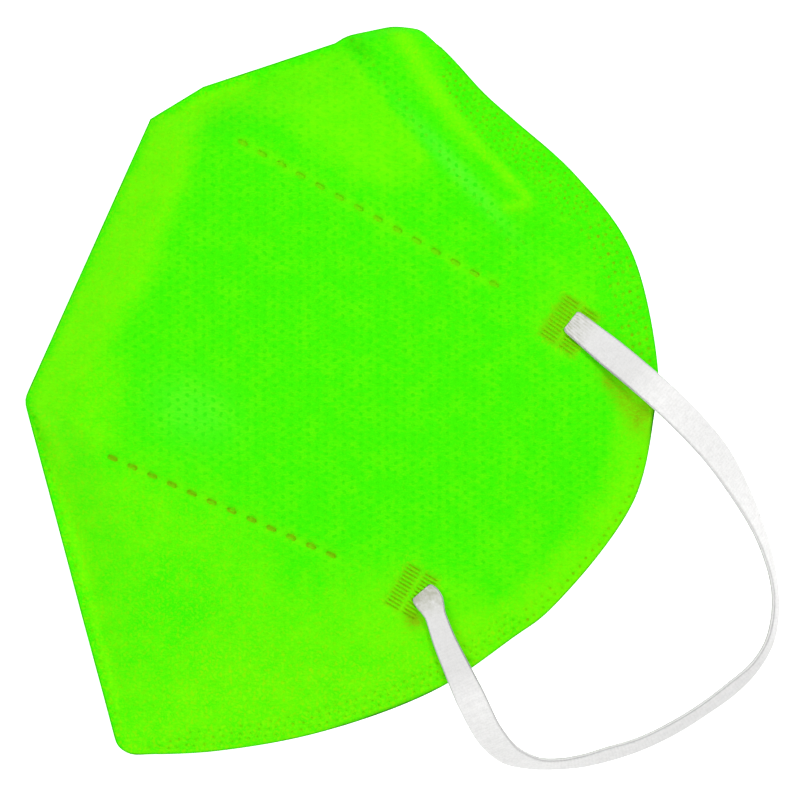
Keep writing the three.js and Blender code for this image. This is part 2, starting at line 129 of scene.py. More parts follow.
# The nose band: cloth creased along a weld, bedded over the wire, with a bead along the wire's far side
BAND_FOOT = (33.2, 95.9)
BAND_ALONG = (0.884, -0.467)
BAND_REACH = (-15, -4.9, 1.2, 5.8)  # across: start of the rise, crease, foot of the bed, end
BAND_HEIGHTS = (1.15, 0.6)  # at the crease and at the foot of the bed
BAND_FADE = (-4, 7, 46, 53)  # along: start, full, last full, end
BEAD = ((38.5, 97.8), (46.5, 91.9), (55.3, 86.4), (65, 81.9), (75.2, 77.9), (75.3, 76.2), (72.3, 74.6))
BEAD_HEIGHT = 0.75
BEAD_WIDTHS = (2.3, 0.9)  # at the nose and at the cheek
BEAD_NARROWS = (6, 40)  # along it, between those widths
BEAD_START = (0, 5)  # along the band, where the bead rises

# Welds. Dashes: first and last one of each line, how many there are, how far they are melted
DASH_LINES = (((19.2, 64.6), (76.2, 59.4), 14, 0.52), ((21.3, -3.1), (68.7, -2.8), 12, 0.95))
DASH = (2.2, 1.0)  # length and width
DASH_BEVEL = 0.2  # width of its slope
# Points of a dash: which end they go round and their turn in degrees, then shares of the length
DASH_ENDS = ((1, -60), (1, 0), (1, 60), (-1, 120), (-1, 180), (-1, 240))
DASH_SIDES = (-0.2, 0.2)
DASH_FLOOR = (-0.25, 0, 0.25)
CREASE_DEPTH = 0.32  # of the cloth along a line of dashes
CREASE_WIDTH = 1.4
CREASE_END = 7.0  # how far it runs on past the last dash
# Rows of dots: side, first and last rib, distance in from the outline, pitch, how far they are melted, radius
DOT_ROWS = (
    ("edge", 0.7, 4.4, 1.3, 1.4, 0.7, 0.36),
    ("edge", 0.9, 4.4, 2.5, 1.4, 0.8, 0.36),
    ("edge", 1.1, 4.4, 3.7, 1.4, 0.85, 0.36),
    ("edge", 1.3, 4.4, 4.9, 1.4, 0.8, 0.36),
    ("edge", 1.6, 4.4, 6.1, 1.5, 0.65, 0.36),
    ("edge", 2.2, 4.3, 7.3, 1.6, 0.4, 0.36),
    ("edge", 4.45, 6.2, 1.5, 2.1, 0.9, 0.46),
    ("edge", 4.45, 6.2, 3.0, 2.1, 1.2, 0.46),
    ("edge", 4.45, 6.1, 4.6, 2.1, 1.2, 0.46),
    ("edge", 4.45, 5.6, 6.2, 2.1, 0.8, 0.44),
    ("edge", 7.5, 9.6, 1.4, 1.9, 0.95, 0.42),
    ("edge", 8.8, 9.6, 3.0, 2.1, 0.6, 0.42),
    ("edge", 9.6, 13.8, 1.5, 1.8, 0.5, 0.36),
    ("edge", 9.6, 13.6, 2.9, 1.8, 0.5, 0.36),
    ("edge", 9.8, 13.3, 4.3, 2.0, 0.35, 0.36),
    ("front", 2.2, 6.3, 1.2, 2.2, 0.35, 0.48),
    ("front", 9.8, 13.8, 1.3, 2.2, 0.3, 0.48),
)
BAND_DOTS = ((30.4, 92.4), (76.0, 68.1), (77.7, 68.0), (79.8, 72.7), (83.0, 76.3))
BAND_DOT_PITCH = 2.2
BAND_DOT_MELT = 0.3
BAND_DOT_RADIUS = 0.48
DOT_STRAY = 0.25  # how far a dot strays from its place
DOT_MELT_RANGE = (0.35, 1.0)  # of a dot, as shares of its row's
DOT_SEED = 7
DOT_CORNERS = 6
DOT_STAGGER = 0.5  # of every other row, as a share of the pitch
DOT_FLOOR = 0.52  # flat floor of a dot, as a share of its radius
DOT_DEPTH = 0.55  # of a dot, as a share of a dash's
# Ridged patches where the ear loops are welded: middle, direction of the ridges, width, height, how far their
# ground is melted and how much further their grooves are
PATCHES = (
    ((93.15, 58.1), (0.987, -0.164), 8.6, 9.7, 0.45, 0.45),
    ((86.3, -3.0), (0.994, -0.11), 7.6, 9.6, 0.2, 0.7),
)
PATCH_RIDGES = 12
PATCH_COLUMNS = 2
RIDGE_ROWS = 4  # of points for each ridge
GROOVE_ROWS = (1, 2)  # those of them that lie in its groove
RIDGE_POINTS = 6  # along a ridge, in each column
RIDGE_SPAN = (0.03, 0.97)  # of a column that they cover
PATCH_PRESS = 0.3  # depth of a whole patch
PATCH_EDGE = (-0.3, 2.2)  # over which the pressing fades
RIDGE_DEPTH = 0.3  # of a groove below it

# Dents where the loops pull at the cloth, with the loops' painted shadow beside them: middle, reach along and
# across, turn in degrees, depth, darkness of that painted shadow
DENTS_AND_SHADOWS = (
    ((110.2, 48.9), (9, 2.1), -31, 1.2, 0.8),
    ((105.3, 50.9), (2.4, 1.2), -31, 0.2, 1.0),
    ((113.8, 47.8), (2.4, 3.4), 0, 0.2, 1.1),
    ((89, -8), (1.9, 1.5), -28, 0.5, 1.3),
)

# Painted shade, drawn as the green turning yellow where the cloth slopes away from the light: corners,
# softness of the edge, strength, flecks
YELLOW_ZONES = (
    (((-5, -8), (4, -3), (10.4, 9), (13.6, 36), (9.4, 67.4), (2, 70), (-5, 66)), 3, 0.75, 0.55),
    (((-4, -6), (22, -6), (16, 14), (-4, 14)), 5, 0.48, 0.5),
    (((-5, 1), (9, 1), (52, -58), (44, -62)), 4, 0.63, 0.9),
    (((5, -3), (48, -3), (64, -13), (76, -4), (96, -4), (90, -40), (46, -62)), 9, 0.43, 0.55),
    (((50, -28), (84, -16), (96, -5), (105, 0), (110, -4), (96, -30), (46, -58)), 6, 0.51, 0.9),
    (((-4, 62), (3, 60), (17, 76), (12, 84)), 3, 0.8, 0.7),
)
# The same for the panel below the nose, which has no flecks
NOSE_PANEL = (((12, 72), (29.5, 96), (60, 80), (48.5, 67.6), (40, 67), (24, 73)), 4.2, 0.62)
NOSE_PANEL_END = (-7.6, -5.8)  # across the nose band
# Painted shade, drawn yellow, along the creases of the dashes, on the bead and at the cheek
DASH_TONE = 0.45
BEAD_TONE = 0.75
BEAD_SPREAD = (0.8, 0.4)  # of that tone: share of the bead's width, and what is added
BEAD_FLECKS = 0.6
CHEEK_TONE = 0.75
CHEEK_BAND = (2, 10)  # in from the face edge
CHEEK_RIBS = (6.3, 7.2)
CHIN_RIBS = (9, 10)
SPECKLED_BAND = (6, 9.5)
SPECKLED_FLECKS = ((0, 0.2), (4.5, 0.25), (6, 0.4), (8, 0.4), (9.5, 0.6), (10.5, 0.9))  # rib, flecks
PATCH_FLECKS = 0.8
FRONT_MARGIN = (0.7, 2.1)  # plain green beside the front
# Spots with more painted shade, drawn yellower, among them the loop's shadow beside the upper weld, and a
# negative strength for less of it; on the weld patches they give the yellow of the melted ground. Columns:
# middle, reach along and across, turn in degrees, strength
YELLOW_SPOTS = (
    ((100, -4), (10, 5), -50, 0.5),
    ((92, 58.5), (6.5, 7), 0, 0.45),
    ((85, -3), (6.5, 7), 0, 0.4),
    ((86, -12), (8, 6), 0, 0.2),
    ((103, 12), (9, 5), -70, 0.3),
    ((87.5, 66.7), (6, 5), 0, 0.25),
    ((110, 49), (8, 3), -31, 0.5),
    ((44, -25), (10, 12), 0, -0.42),
    ((7, 58), (6, 8), -20, 0.14),
    ((5, -1), (6, 5), -50, 0.15),
)
# Spots of painted sheen, pale green, in the same columns
SHEEN_SPOTS = (((60, 77.2), (14, 1.5), -25, 0.5), ((32, 12), (8, 6), 0, 0.3))

# Ear loops, from the upper to the lower weld: x, y, tilt, clear. tilt: 0 lies flat, 90 stands on edge, plus
# lifts the edge on the right hand. clear: height of the lower edge over the surface. Rows with no tilt lie
# on the cloth.
LEFT_LOOP = (
    (93, 59.1), (100.9, 57), (108.4, 55),
    (116.1, 52.7, 4, 18.3), (123.9, 49.9, 10, 14.9), (131.1, 46.7, 24, 9.6), (137.5, 42.7, 44, 4.6),
    (143.6, 38, 62, 1.2), (148.8, 32.8, 73, 0.1), (152.9, 27.2, 79, 0.1), (155.4, 21.7, 77, 0.1),
    (156.4, 16.4, 74, 0.1), (155.7, 11, 70, 0.1), (153.4, 5.4, 63, 0.1), (149.8, -1, 65, 0.1),
    (145.6, -7.2, 64, 0.1), (140.9, -12.7, 64, 0.1), (136.2, -16.9, 62, 0.1), (132, -20.3, 66, 0.1),
    (127.8, -22.9, 70, 0.1), (123.2, -24.8, 66, 0.6), (118.1, -25.2, 44, 4.4), (112.4, -22.9, 20, 10.1),
    (106.7, -18.4, 6, 15.4),
    (100.9, -13.4), (96, -9), (92.2, -5), (90.2, -3.2), (88, -2.2),
)
RIGHT_LOOP = (
    (93.4, 59), (96.6, 58.2), (99.6, 57),
    (104.3, 53.5, -28, 0.6), (107.7, 48.4, -44, 0.1), (109.8, 41.8, -52, 0.1), (110.7, 34.8, -54, 0.1),
    (110.6, 27.5, -54, 0.1), (109.7, 20, -54, 0.1), (107.8, 12.5, -54, 0.1), (105, 5, -55, 0.1),
    (101.5, -2.5, -56, 0.1), (97.5, -9.8, -57, 0.1), (93.1, -16.7, -57, 0.1), (88.4, -23.4, -56, 0.1),
    (83.2, -29.7, -55, 0.1), (77.6, -35.3, -54, 0.1), (71.5, -38.8, -50, 0.1), (64.6, -39, -44, 0.1),
    (58.6, -35.6, -36, 0.1), (55.2, -29.6, -26, 0.1), (55.4, -22.8, -10, 0.1), (59.1, -17.1, 2, 0.1),
    (65.2, -14, 4, 0.1), (72, -12.6, 2, 0.1), (78.4, -10.7, 1, 0.5),
    (83.4, -7.4), (86.6, -4), (88.6, -1.6),
)
TAPE_GAP = 0.12  # from the loop to the cloth it lies on
TAPE_STEP = 0.6  # along the loop, between rings of the mesh
TAPE_EDGE = 0.35  # rounding of its edges
EDGE_TURNS = (45, 0, -45)  # of the points round an edge, in degrees
ROUTE_NUDGE = 0.001  # of a row, that finds the route's direction
ROUTE_SAMPLES = 4000  # that measure the route
FULLY_ON_CLOTH = 0.999
WALE_SAMPLES = 3  # points of the mesh across a wale
GROOVE = 0.03  # between the wales
PRESSED_GROOVE = 0.12  # and where the end is pressed
# Width of a loop near each end: distance from the end, share of the width
UPPER_END = ((0, 0.7), (0.3, 0.8), (0.8, 0.86), (10, 1))
LOWER_END = (
    (0, 0.7), (0.3, 0.82), (0.8, 0.9), (2, 0.95), (3, 0.93), (4.2, 0.82), (5.6, 0.7), (9, 0.74), (24, 1),
)
END_RINGS = (0.12, 0.3)  # close rings of the mesh round an end
WELDED_END = (0.5, 6.5)  # distance from an end over which its pressing fades
WELDED_THICKNESS = 0.55  # of the pressed end, as a share
# The share added in the grooves is painted shade
RIDGED_MELT_AND_SHADE = (0.15, 0.75)  # of the upper end, and added in its grooves
PLAIN_MELT = 0.9  # of the lower end

# The photo's frame: middle of the picture on the mask, width of the view, turn of the camera
VIEW_MIDDLE = (68.6, 30.8)
VIEW_WIDTH = 160.0
VIEW_TURN = 24.2
VIEW_HEIGHT = 12.0
VIEW_REACH = 100  # how far the camera sees, in metres
FLOOR_SINK = 0.0001  # of the floor below the surface, in metres
# Lights: place in metres to the right, up the picture and towards the camera, size in metres, colour
LAMPS = {
    "key": ((0.6, 0.75, 0.95), 0.35, (1, 0.99, 0.97)),
    "side": ((-0.9, -0.75, 0.65), 0.8, (1, 0.99, 0.95)),
    "top": ((0, 0, 1.6), 1.2, (1, 1, 1)),
}
WHITE = (1, 1, 1, 1)
MIX_INPUTS = (0, 6, 7)  # places in a mix node of the share and both colours
MIX_OUTPUT = 2  # and of the colour it makes

# Finishes: roughness, specular level, sheen, depth of the bump in metres, strength of the bump
FINISHES = {
    "bright_nonwoven": (0.85, 0.02, 0.0, 0.0001, 0.5),
    "pale_lining": (0.9, 0.05, 0.1, 0.00012, 0.6),
    "white_elastic": (0.85, 0.1, 0.1, 0.0001, 0.4),
    "rolled_aluminium": (0.4, 0.5, 0.0, 0.00003, 0.5),
    "pale_paper": (0.9, 0.0, 0.0, 0.0, 0.0),
}

# Noises of the finishes: scale, detail, curl
NOISES = {
    "stray": (420.0, 1.0, 0.0),
    "fibres": (2000.0, 2.0, 1.2),
    "clouds": (200.0, 4.0, 0.0),
    "grains": (1050.0, 1.0, 0.0),
    "fuzz": (2600.0, 3.0, 0.0),
    "blotches": (800.0, 2.0, 0.0),
    "rolled_lines": (3.0, 3.0, 0.0),
    "paper_grain": (900.0, 2.0, 0.0),
}

# The nonwoven's pattern
STRAY_REACH = 0.0012  # of the bond points, in metres
POINT_EDGE = (1.25, 0.6)  # of a bond point, outside and inside, as shares of its radius
FIBRE_DRAW = 0.35  # width of a fibre as a share of its length
FIBRE_RISE = 0.8  # of the fibres, as a share of the bond points' depth
FLECK_RANGE = (0.55, 0.69)  # of the grain, from no fleck to a full one
GLINT_RANGE = (0.47, 0.3)

# How the cloth's colours follow its pattern: factor, and what is added where there are two
MOTTLED_CLOUDS = (1.15, -1.06)
MOTTLED_FIBRES = 1.2
SHEEN_FIBRES = 2.0
POINT_CLOUDS = (0.9, -0.14)
POINT_PALE = 0.6
POINT_TONE = (-0.8, 1.0)
FLECK_SHARE = (0.45, 0.06)
GLINT_SHARE = 0.5
MELTED_FIBRES = (2.0, -0.1)
MELTED_ROUGHNESS = (-0.3, 0.85)
# Painted shade at the rims follows the clouds
EDGE_SHADE_CLOUDS = (1.6, -0.2)
LINING_POINTS = 0.5
LINING_SHADE = 0.8  # of the bond points, as a share of the lining's colour

# The elastic's pattern, in the same way
FUZZ_NOISE = 1.1
FUZZ_STITCHES = 0.15
STITCH_LEAN = 2.0
WORN_BLOTCHES = (1.4, 0.65)
WORN_FUZZ = -1.6
WORN_SHADE = 0.86  # as a share of the elastic's colour
MELTED_BLOTCHES = (3.0, -0.6)
# How much greyer the elastic is where it lies on the cloth
ON_CLOTH_GREY = 0.35  # on the cloth
# Painted shade at the elastic's edges: factor for lying on the cloth and what is added, more on the cloth as
# its contact shadow
EDGE_SHARE = (0.45, 0.35)

# The wire's rolled lines and the floor's grain
ROLLED_DRAW = (60.0, 1500.0, 1500.0)  # how they are drawn out: scale along each axis
ROLLED_COLOURS = ((0.6, 0.61, 0.63), (0.75, 0.76, 0.78))
ROLLED_ROUGHNESS = (0.25, 0.3)
PAPER_SHADE = 0.99  # of the grain, as a share of the paper's colour


def smoothstep(value, low, high):
    share = np.clip((value - low) / (high - low), 0, 1)
    return share * share * (3 - 2 * share)


def hermite(start, end, leave, arrive, share):
    bend = 3 * (end - start) - 2 * leave - arrive
    twist = 2 * (start - end) + leave + arrive
    return start + share * (leave + share * (bend + share * twist))


def bell(distance, reach):
    return np.exp(-((distance / reach) ** 2))


def unit(directions):
    return directions / np.linalg.norm(directions, axis=1)[:, None]


def leftward(ahead):
    """The direction on the left hand of another, in plan."""
    return np.array([-ahead[1], ahead[0]])


def travelled_along(line):
    """Distance from the start of a line to each of its points."""
    return np.concatenate([[0], np.cumsum(np.linalg.norm(np.diff(line, axis=0), axis=1))])


def curve_through(points, places):
    """Points on the centripetal curve through a list of points, at places counted in rows of the list."""
    points = np.asarray(points, float)
    padded = np.concatenate([[2 * points[0] - points[1]], points, [2 * points[-1] - points[-2]]])
    row = np.clip(np.floor(places).astype(int), 0, len(points) - 2)
    before, start, end, after = (padded[row + i] for i in range(4))
    pairs = ((before, start), (start, end), (end, after))
    first, middle, last = (np.sqrt(np.linalg.norm(b - a, axis=1))[:, None] for a, b in pairs)
    straight_on = (end - start) / middle
    leave = (start - before) / first - (end - before) / (first + middle) + straight_on
    arrive = straight_on - (after - start) / (middle + last) + (after - end) / last
    return hermite(start, end, leave * middle, arrive * middle, (places - row)[:, None])


def eased_between(values, places):
    """Values of a list at places counted in its rows, with no kink at a row."""
    values = np.asarray(values, float)
    row = np.clip(np.floor(places).astype(int), 0, len(values) - 2)
    before, start, end, after = (values[np.clip(row + i, 0, len(values) - 1)] for i in (-1, 0, 1, 2))
    return hermite(start, end, (end - before) / 2, (after - start) / 2, places - row)


def straight(column, ribs):
    return np.interp(ribs, np.arange(LAST_RIB + 1), RIB_TABLE[column])


def eased(column, ribs):
    return eased_between(RIB_TABLE[column], ribs)


def rib_ends(ribs):
    """Where ribs start on the front and end on the face edge, in plan."""
    front = np.stack([straight("front_x", ribs), straight("front_y", ribs)], axis=1)
    edge = curve_through(np.stack([RIB_TABLE["edge_x"], RIB_TABLE["edge_y"]], axis=1), ribs)
    return front, edge


def ribs_over(points):
    """The rib over each point of the plan, the distance along it and its length."""
    above = np.zeros(len(points))
    below = np.full(len(points), float(LAST_RIB))
    for _ in range(RIB_HALVINGS):
        rib = (above + below) / 2
        front, edge = rib_ends(rib)
        along, to_point = edge - front, points - front
        past = along[:, 0] * to_point[:, 1] - along[:, 1] * to_point[:, 0] > 0
        below = np.where(past, rib, below)
        above = np.where(past, above, rib)
    front, edge = rib_ends(rib)
    return rib, np.linalg.norm(points - front, axis=1), np.linalg.norm(edge - front, axis=1)


def smooth_min(a, b, reach):
    share = np.clip(0.5 + (b - a) / (2 * reach), 0, 1)
    return b + (a - b) * share - reach * share * (1 - share)


def cloth_height(points, half, crease, over=None, raised=None):
    """Height of the outer face over the middle plane. half is 1 on the upper half and -1 on the lower one."""
    rib, distance, length = ribs_over(points) if over is None else over
    share = np.minimum(distance / length, 1)
    crown = eased("crown", rib) + (FAR_SAG if half < 0 else 0)
    lip = eased("lip", rib) * (FAR_LIP if half < 0 else 1)
    panel = eased("start", rib) * (1 - share) * (1 - 2 * share)
    panel = panel + crown * 4 * share * (1 - share) + lip * share * (2 * share - 1)
    off_front = np.maximum(distance - straight("flange", rib), 0)
    height = smooth_min(SEAM / 2 + eased("slope", rib) * off_front, panel, crease)
    height = height + (relief(points) if raised is None else raised)
    if half > 0:
        return height
    rolled = REST_DEPTH - np.maximum(REST_DEPTH + FLATTENED - height, 0) ** 2 / (4 * FLATTENED)
    return np.where(height < REST_DEPTH - FLATTENED, height, rolled)


def off_line(points, line):
    """Distance of points from a line of straight pieces, and how far along it the nearest place is."""
    line = np.asarray(line, float)
    best = np.full(len(points), np.inf)
    along = np.zeros(len(points))
    travelled = 0.0
    for start, end in zip(line[:-1], line[1:]):
        step = end - start
        length = math.hypot(*step)
        share = np.clip((points - start) @ step / length**2, 0, 1)
        distance = np.linalg.norm(points - start - share[:, None] * step, axis=1)
        along = np.where(distance < best, travelled + share * length, along)
        best = np.minimum(best, distance)
        travelled += length
    return best, along


def bead_width(travelled):
    wide, narrow = BEAD_WIDTHS
    return wide + (narrow - wide) * smoothstep(travelled, *BEAD_NARROWS)


def turned_into(points, middle, ahead):
    """Points as distances along and across a direction, from a middle."""
    from_middle = points - np.array(middle)
    return from_middle @ np.array(ahead), from_middle @ leftward(ahead)


def band_relief(points):
    """The nose band: a rise to the weld, a bed over the wire and the bead beside it."""
    along, across = turned_into(points, BAND_FOOT, BAND_ALONG)
    start, full, last, end = BAND_FADE
    fade = smoothstep(along, start, full) * (1 - smoothstep(along, last, end))
    rise, crease, foot, stop = BAND_REACH
    crest, low = BAND_HEIGHTS
    bed = crest * smoothstep(across, rise, crease) ** 2
    bed = np.where(across > crease, crest + (low - crest) * (across - crease) / (foot - crease), bed)
    bed = np.where(across > foot, low * (1 - smoothstep(across, foot, stop)), bed)
    distance, travelled = off_line(points, BEAD)
    bead = BEAD_HEIGHT * bell(distance, bead_width(travelled))
    return bed * fade + bead * smoothstep(along, *BEAD_START)


def outside_patch(points, patch):
    """How far points lie outside a weld patch."""
    middle, ahead, width, height, _, _ = patch
    along, across = turned_into(points, middle, ahead)
    return np.maximum(np.abs(along) - width / 2, np.abs(across) - height / 2)


def hump(points, middle, reach, degrees):
    """1 at a middle, falling to 0 over a reach along and across a direction."""
    turn = math.radians(degrees)
    along, across = turned_into(points, middle, (math.cos(turn), math.sin(turn)))
    return np.exp(-((along / reach[0]) ** 2) - (across / reach[1]) ** 2)


def dent_depth(points):
    return sum(depth * hump(points, *place) for *place, depth, _ in DENTS_AND_SHADOWS)


def wave(points, turn_x, turn_y, start):
    return np.sin(turn_x * points[:, 0] + turn_y * points[:, 1] + start)


def relief(points):
    """How far the cloth stands proud of the plain pouch."""
    height = band_relief(points)
    for first, last, _, _ in DASH_LINES:
        start, end = np.array(first), np.array(last)
        reach = (end - start) / np.linalg.norm(end - start) * CREASE_END
        distance, along = off_line(points, [start - reach, end + reach])
        total = np.linalg.norm(end - start) + 2 * CREASE_END
        ends = smoothstep(np.minimum(along, total - along), 0, CREASE_END)
        height = height - CREASE_DEPTH * ends * bell(distance, CREASE_WIDTH)
    for patch in PATCHES:
        height = height - PATCH_PRESS * (1 - smoothstep(outside_patch(points, patch), *PATCH_EDGE))
    height = height - dent_depth(points)
    for first, second, size in WAVES:
        height = height + size * wave(points, *first) * wave(points, *second)
    return height


def walked(side, spacing):
    """Ribs whose ends on one side lie about a spacing apart, with every rib of the table among them."""
    ribs = [np.array([0.0])]
    for rib in range(LAST_RIB):
        fine = np.linspace(rib, rib + 1, RIB_SAMPLES)
        travelled = travelled_along(rib_ends(fine)[side])
        count = max(1, round(travelled[-1] / spacing))
        ribs.append(np.interp(np.linspace(0, travelled[-1], count + 1)[1:], travelled, fine))
    return np.concatenate(ribs)


def spaced_along(line, pitch, phase):
    """Points at a pitch along a line of straight pieces, the first a share of the pitch from its start."""
    travelled = travelled_along(line)
    at = np.arange(phase * pitch, travelled[-1], pitch)
    return np.stack([np.interp(at, travelled, line[:, axis]) for axis in (0, 1)], axis=1)


class Outline:
    """The loop round one half: down the front from the nose tip, then up the face edge."""

    def __init__(self, spacing):
        front_ribs, edge_ribs = walked(0, spacing), walked(1, spacing)[::-1]
        front, edge = rib_ends(front_ribs)[0], rib_ends(edge_ribs)[1]
        chin = np.linspace(front[-1], edge[0], TIP_PIECES + 1)[1:-1]
        nose = np.linspace(edge[-1], front[0], TIP_PIECES + 1)[1:-1]
        self.points = np.concatenate([front, chin, edge, nose])
        self.ribs = np.concatenate([front_ribs, [LAST_RIB] * len(chin), edge_ribs, [0] * len(nose)])
        self.on_front = np.arange(len(self.points)) < len(front)
        foot = self.on_front & (self.ribs > FOOT_RIBS[0]) & (self.ribs < FOOT_RIBS[1])
        rounded = (foot | (self.ribs < CORNER_RIBS[0]) | (self.ribs > CORNER_RIBS[1]))[:, None]
        for _ in range(CORNER_PASSES):
            before, after = (np.roll(self.points, step, axis=0) for step in (1, -1))
            self.points = np.where(rounded, (before + 2 * self.points + after) / 4, self.points)
        along = unit(np.roll(self.points, -1, axis=0) - np.roll(self.points, 1, axis=0))
        self.outward = np.stack([along[:, 1], -along[:, 0]], axis=1)
        self.inset = self.points - RIM * self.outward

    def side(self, name):
        return self.on_front if name == "front" else ~self.on_front

    def off(self, name, points):
        """How far points lie from one side."""
        return off_line(points, self.points[self.side(name)])[0]

    def row(self, name, first, last, inwards, pitch, phase):
        """Points at a pitch along one side, a distance in from the outline."""
        chosen = self.side(name) & (self.ribs >= first) & (self.ribs <= last)
        return spaced_along(self.points[chosen] - inwards * self.outward[chosen], pitch, phase)


def inside_loop(points, loop):
    """Whether points lie inside a closed loop, and how far from it."""
    inside = np.zeros(len(points), bool)
    closed = np.concatenate([loop, loop[:1]])
    for start, end in zip(closed[:-1], closed[1:]):
        crosses = (start[1] > points[:, 1]) != (end[1] > points[:, 1])
        rise = end[1] - start[1] if end[1] != start[1] else 1.0
        at = start[0] + (points[:, 1] - start[1]) * (end[0] - start[0]) / rise
        inside ^= crosses & (points[:, 0] < at)
    return inside, off_line(points, closed)[0]


def well_inside(points, loop, margin):
    """Whether points lie inside a closed loop, further from it than a margin."""
    inside, distance = inside_loop(points, loop)
    return inside & (distance > margin)


def lattice(loop, spacing, margin):
    """Points in rows, each between two of the row before, inside a loop."""
    low, high = loop.min(axis=0), loop.max(axis=0)
    row_gap = spacing * math.sqrt(3) / 2
    rows = []
    for i, y in enumerate(np.arange(low[1], high[1], row_gap)):
        x = np.arange(low[0] + (i % 2) * spacing / 2, high[0], spacing)
        rows.append(np.stack([x, np.full(len(x), y)], axis=1))
    points = np.concatenate(rows)
    return points[well_inside(points, loop, margin)]


def away_from(points, others, gap):
    """The points that lie further than a gap from all the others."""
    tree = KDTree(len(others))
    for i, other in enumerate(others):
        tree.insert((*other, 0), i)
    tree.balance()
    return points[[tree.find((*point, 0))[2] > gap for point in points]]


def dash_ring(middle, ahead, length, width):
    """Corners of a rounded bar lying along a direction."""
    side = leftward(ahead)
    ring = []
    for end, turn in DASH_ENDS:
        angle = math.radians(turn)
        round_end = np.array([math.cos(angle), math.sin(angle)]) * width / 2
        ring.append(middle + ahead * (end * (length - width) / 2 + round_end[0]) + side * round_end[1])
    for share in DASH_SIDES:
        ring.append(middle + ahead * length * share + side * width / 2)
        ring.append(middle + ahead * length * share - side * width / 2)
    return ring


class WeldPoints:
    """Points that draw the welds on one half, how deep each is pressed and how much it is melted."""

    def __init__(self, outline, depth):
        self.points, self.depths, self.melted = [], [], []
        self.depth = depth
        self.add_dashes()
        self.add_dots(outline)
        self.add_patches()

    def add(self, ring, depth, melt_and_shade):
        self.points.extend(ring)
        self.depths.extend([depth] * len(ring))
        self.melted.extend([melt_and_shade] * len(ring))

    def add_dashes(self):
        length, width = DASH
        for first, last, count, melt_and_shade in DASH_LINES:
            start, end = np.array(first), np.array(last)
            ahead = (end - start) / np.linalg.norm(end - start)
            for i in range(count):
                middle = start + (end - start) * i / (count - 1)
                self.add(dash_ring(middle, ahead, length + DASH_BEVEL, width + DASH_BEVEL), 0, 0)
                self.add(dash_ring(middle, ahead, length - DASH_BEVEL, width - DASH_BEVEL), self.depth, melt_and_shade)
                self.add([middle + ahead * length * share for share in DASH_FLOOR], self.depth, melt_and_shade)

    def add_dots(self, outline):
        rows = [(outline.row(*row[:5], DOT_STAGGER * (i % 2)), *row[5:]) for i, row in enumerate(DOT_ROWS)]
        rows.append((spaced_along(np.array(BAND_DOTS), BAND_DOT_PITCH, 0), BAND_DOT_MELT, BAND_DOT_RADIUS))
        turns = np.arange(DOT_CORNERS) * 2 * math.pi / DOT_CORNERS
        ring = np.stack([np.cos(turns), np.sin(turns)], axis=1)
        uneven = np.random.default_rng(DOT_SEED)
        for dots, melt_and_shade, radius in rows:
            for dot in dots + uneven.uniform(-DOT_STRAY, DOT_STRAY, dots.shape):
                melt_here = melt_and_shade * uneven.uniform(*DOT_MELT_RANGE)
                self.add(dot + radius * ring, 0, 0)
                self.add([*(dot + radius * DOT_FLOOR * ring), dot], self.depth * DOT_DEPTH, melt_here)

    def add_patches(self):
        shares = np.linspace(*RIDGE_SPAN, RIDGE_POINTS)
        columns = np.concatenate([shares + i for i in range(PATCH_COLUMNS)]) / PATCH_COLUMNS
        for middle, ahead, width, height, ground, deeper in PATCHES:
            ahead, side = np.array(ahead), leftward(ahead)
            for row in range(PATCH_RIDGES * RIDGE_ROWS):
                up = (row + 0.5) / (PATCH_RIDGES * RIDGE_ROWS) - 0.5
                groove = row % RIDGE_ROWS in GROOVE_ROWS
                for column, right in enumerate(columns - 0.5):
                    deep = groove and column % RIDGE_POINTS not in (0, RIDGE_POINTS - 1)
                    place = np.array(middle) + ahead * right * width + side * up * height
                    self.add([place], RIDGE_DEPTH * deep, ground + deeper * deep)


def triangulated(loop, points):
    """Plan points and triangles that fill a loop, with the loop's own points first."""
    given = np.concatenate([loop, points]).astype(np.float32).astype(float)
    corners = [Vector(point) for point in given]
    boundary = [list(range(len(loop)))]
    _, _, faces, sources, _, _ = delaunay_2d_cdt(corners, [], boundary, FILL_INSIDE, SAME_POINT, True)
    source = [ids[0] for ids in sources]
    if sorted(source) != list(range(len(given))):
        raise RuntimeError("the welds and the outline of the cloth meet")
    triangles = np.array([[source[i] for i in face] for face in faces])
    a, b, c = (given[triangles[:, i]] for i in range(3))
    turn = (b - a)[:, 0] * (c - a)[:, 1] - (b - a)[:, 1] * (c - a)[:, 0]
    triangles[turn < 0] = triangles[turn < 0][:, ::-1]
    inside = inside_loop(given[triangles].mean(axis=1), given[: len(loop)])[0]
    return given, triangles[inside]


def near_polygon(points, corners, soft):
    """1 inside a polygon of corners, fading to 0 over a soft edge."""
    inside, distance = inside_loop(points, np.array(corners, float))
    return smoothstep(np.where(inside, distance, -distance), -soft, soft)


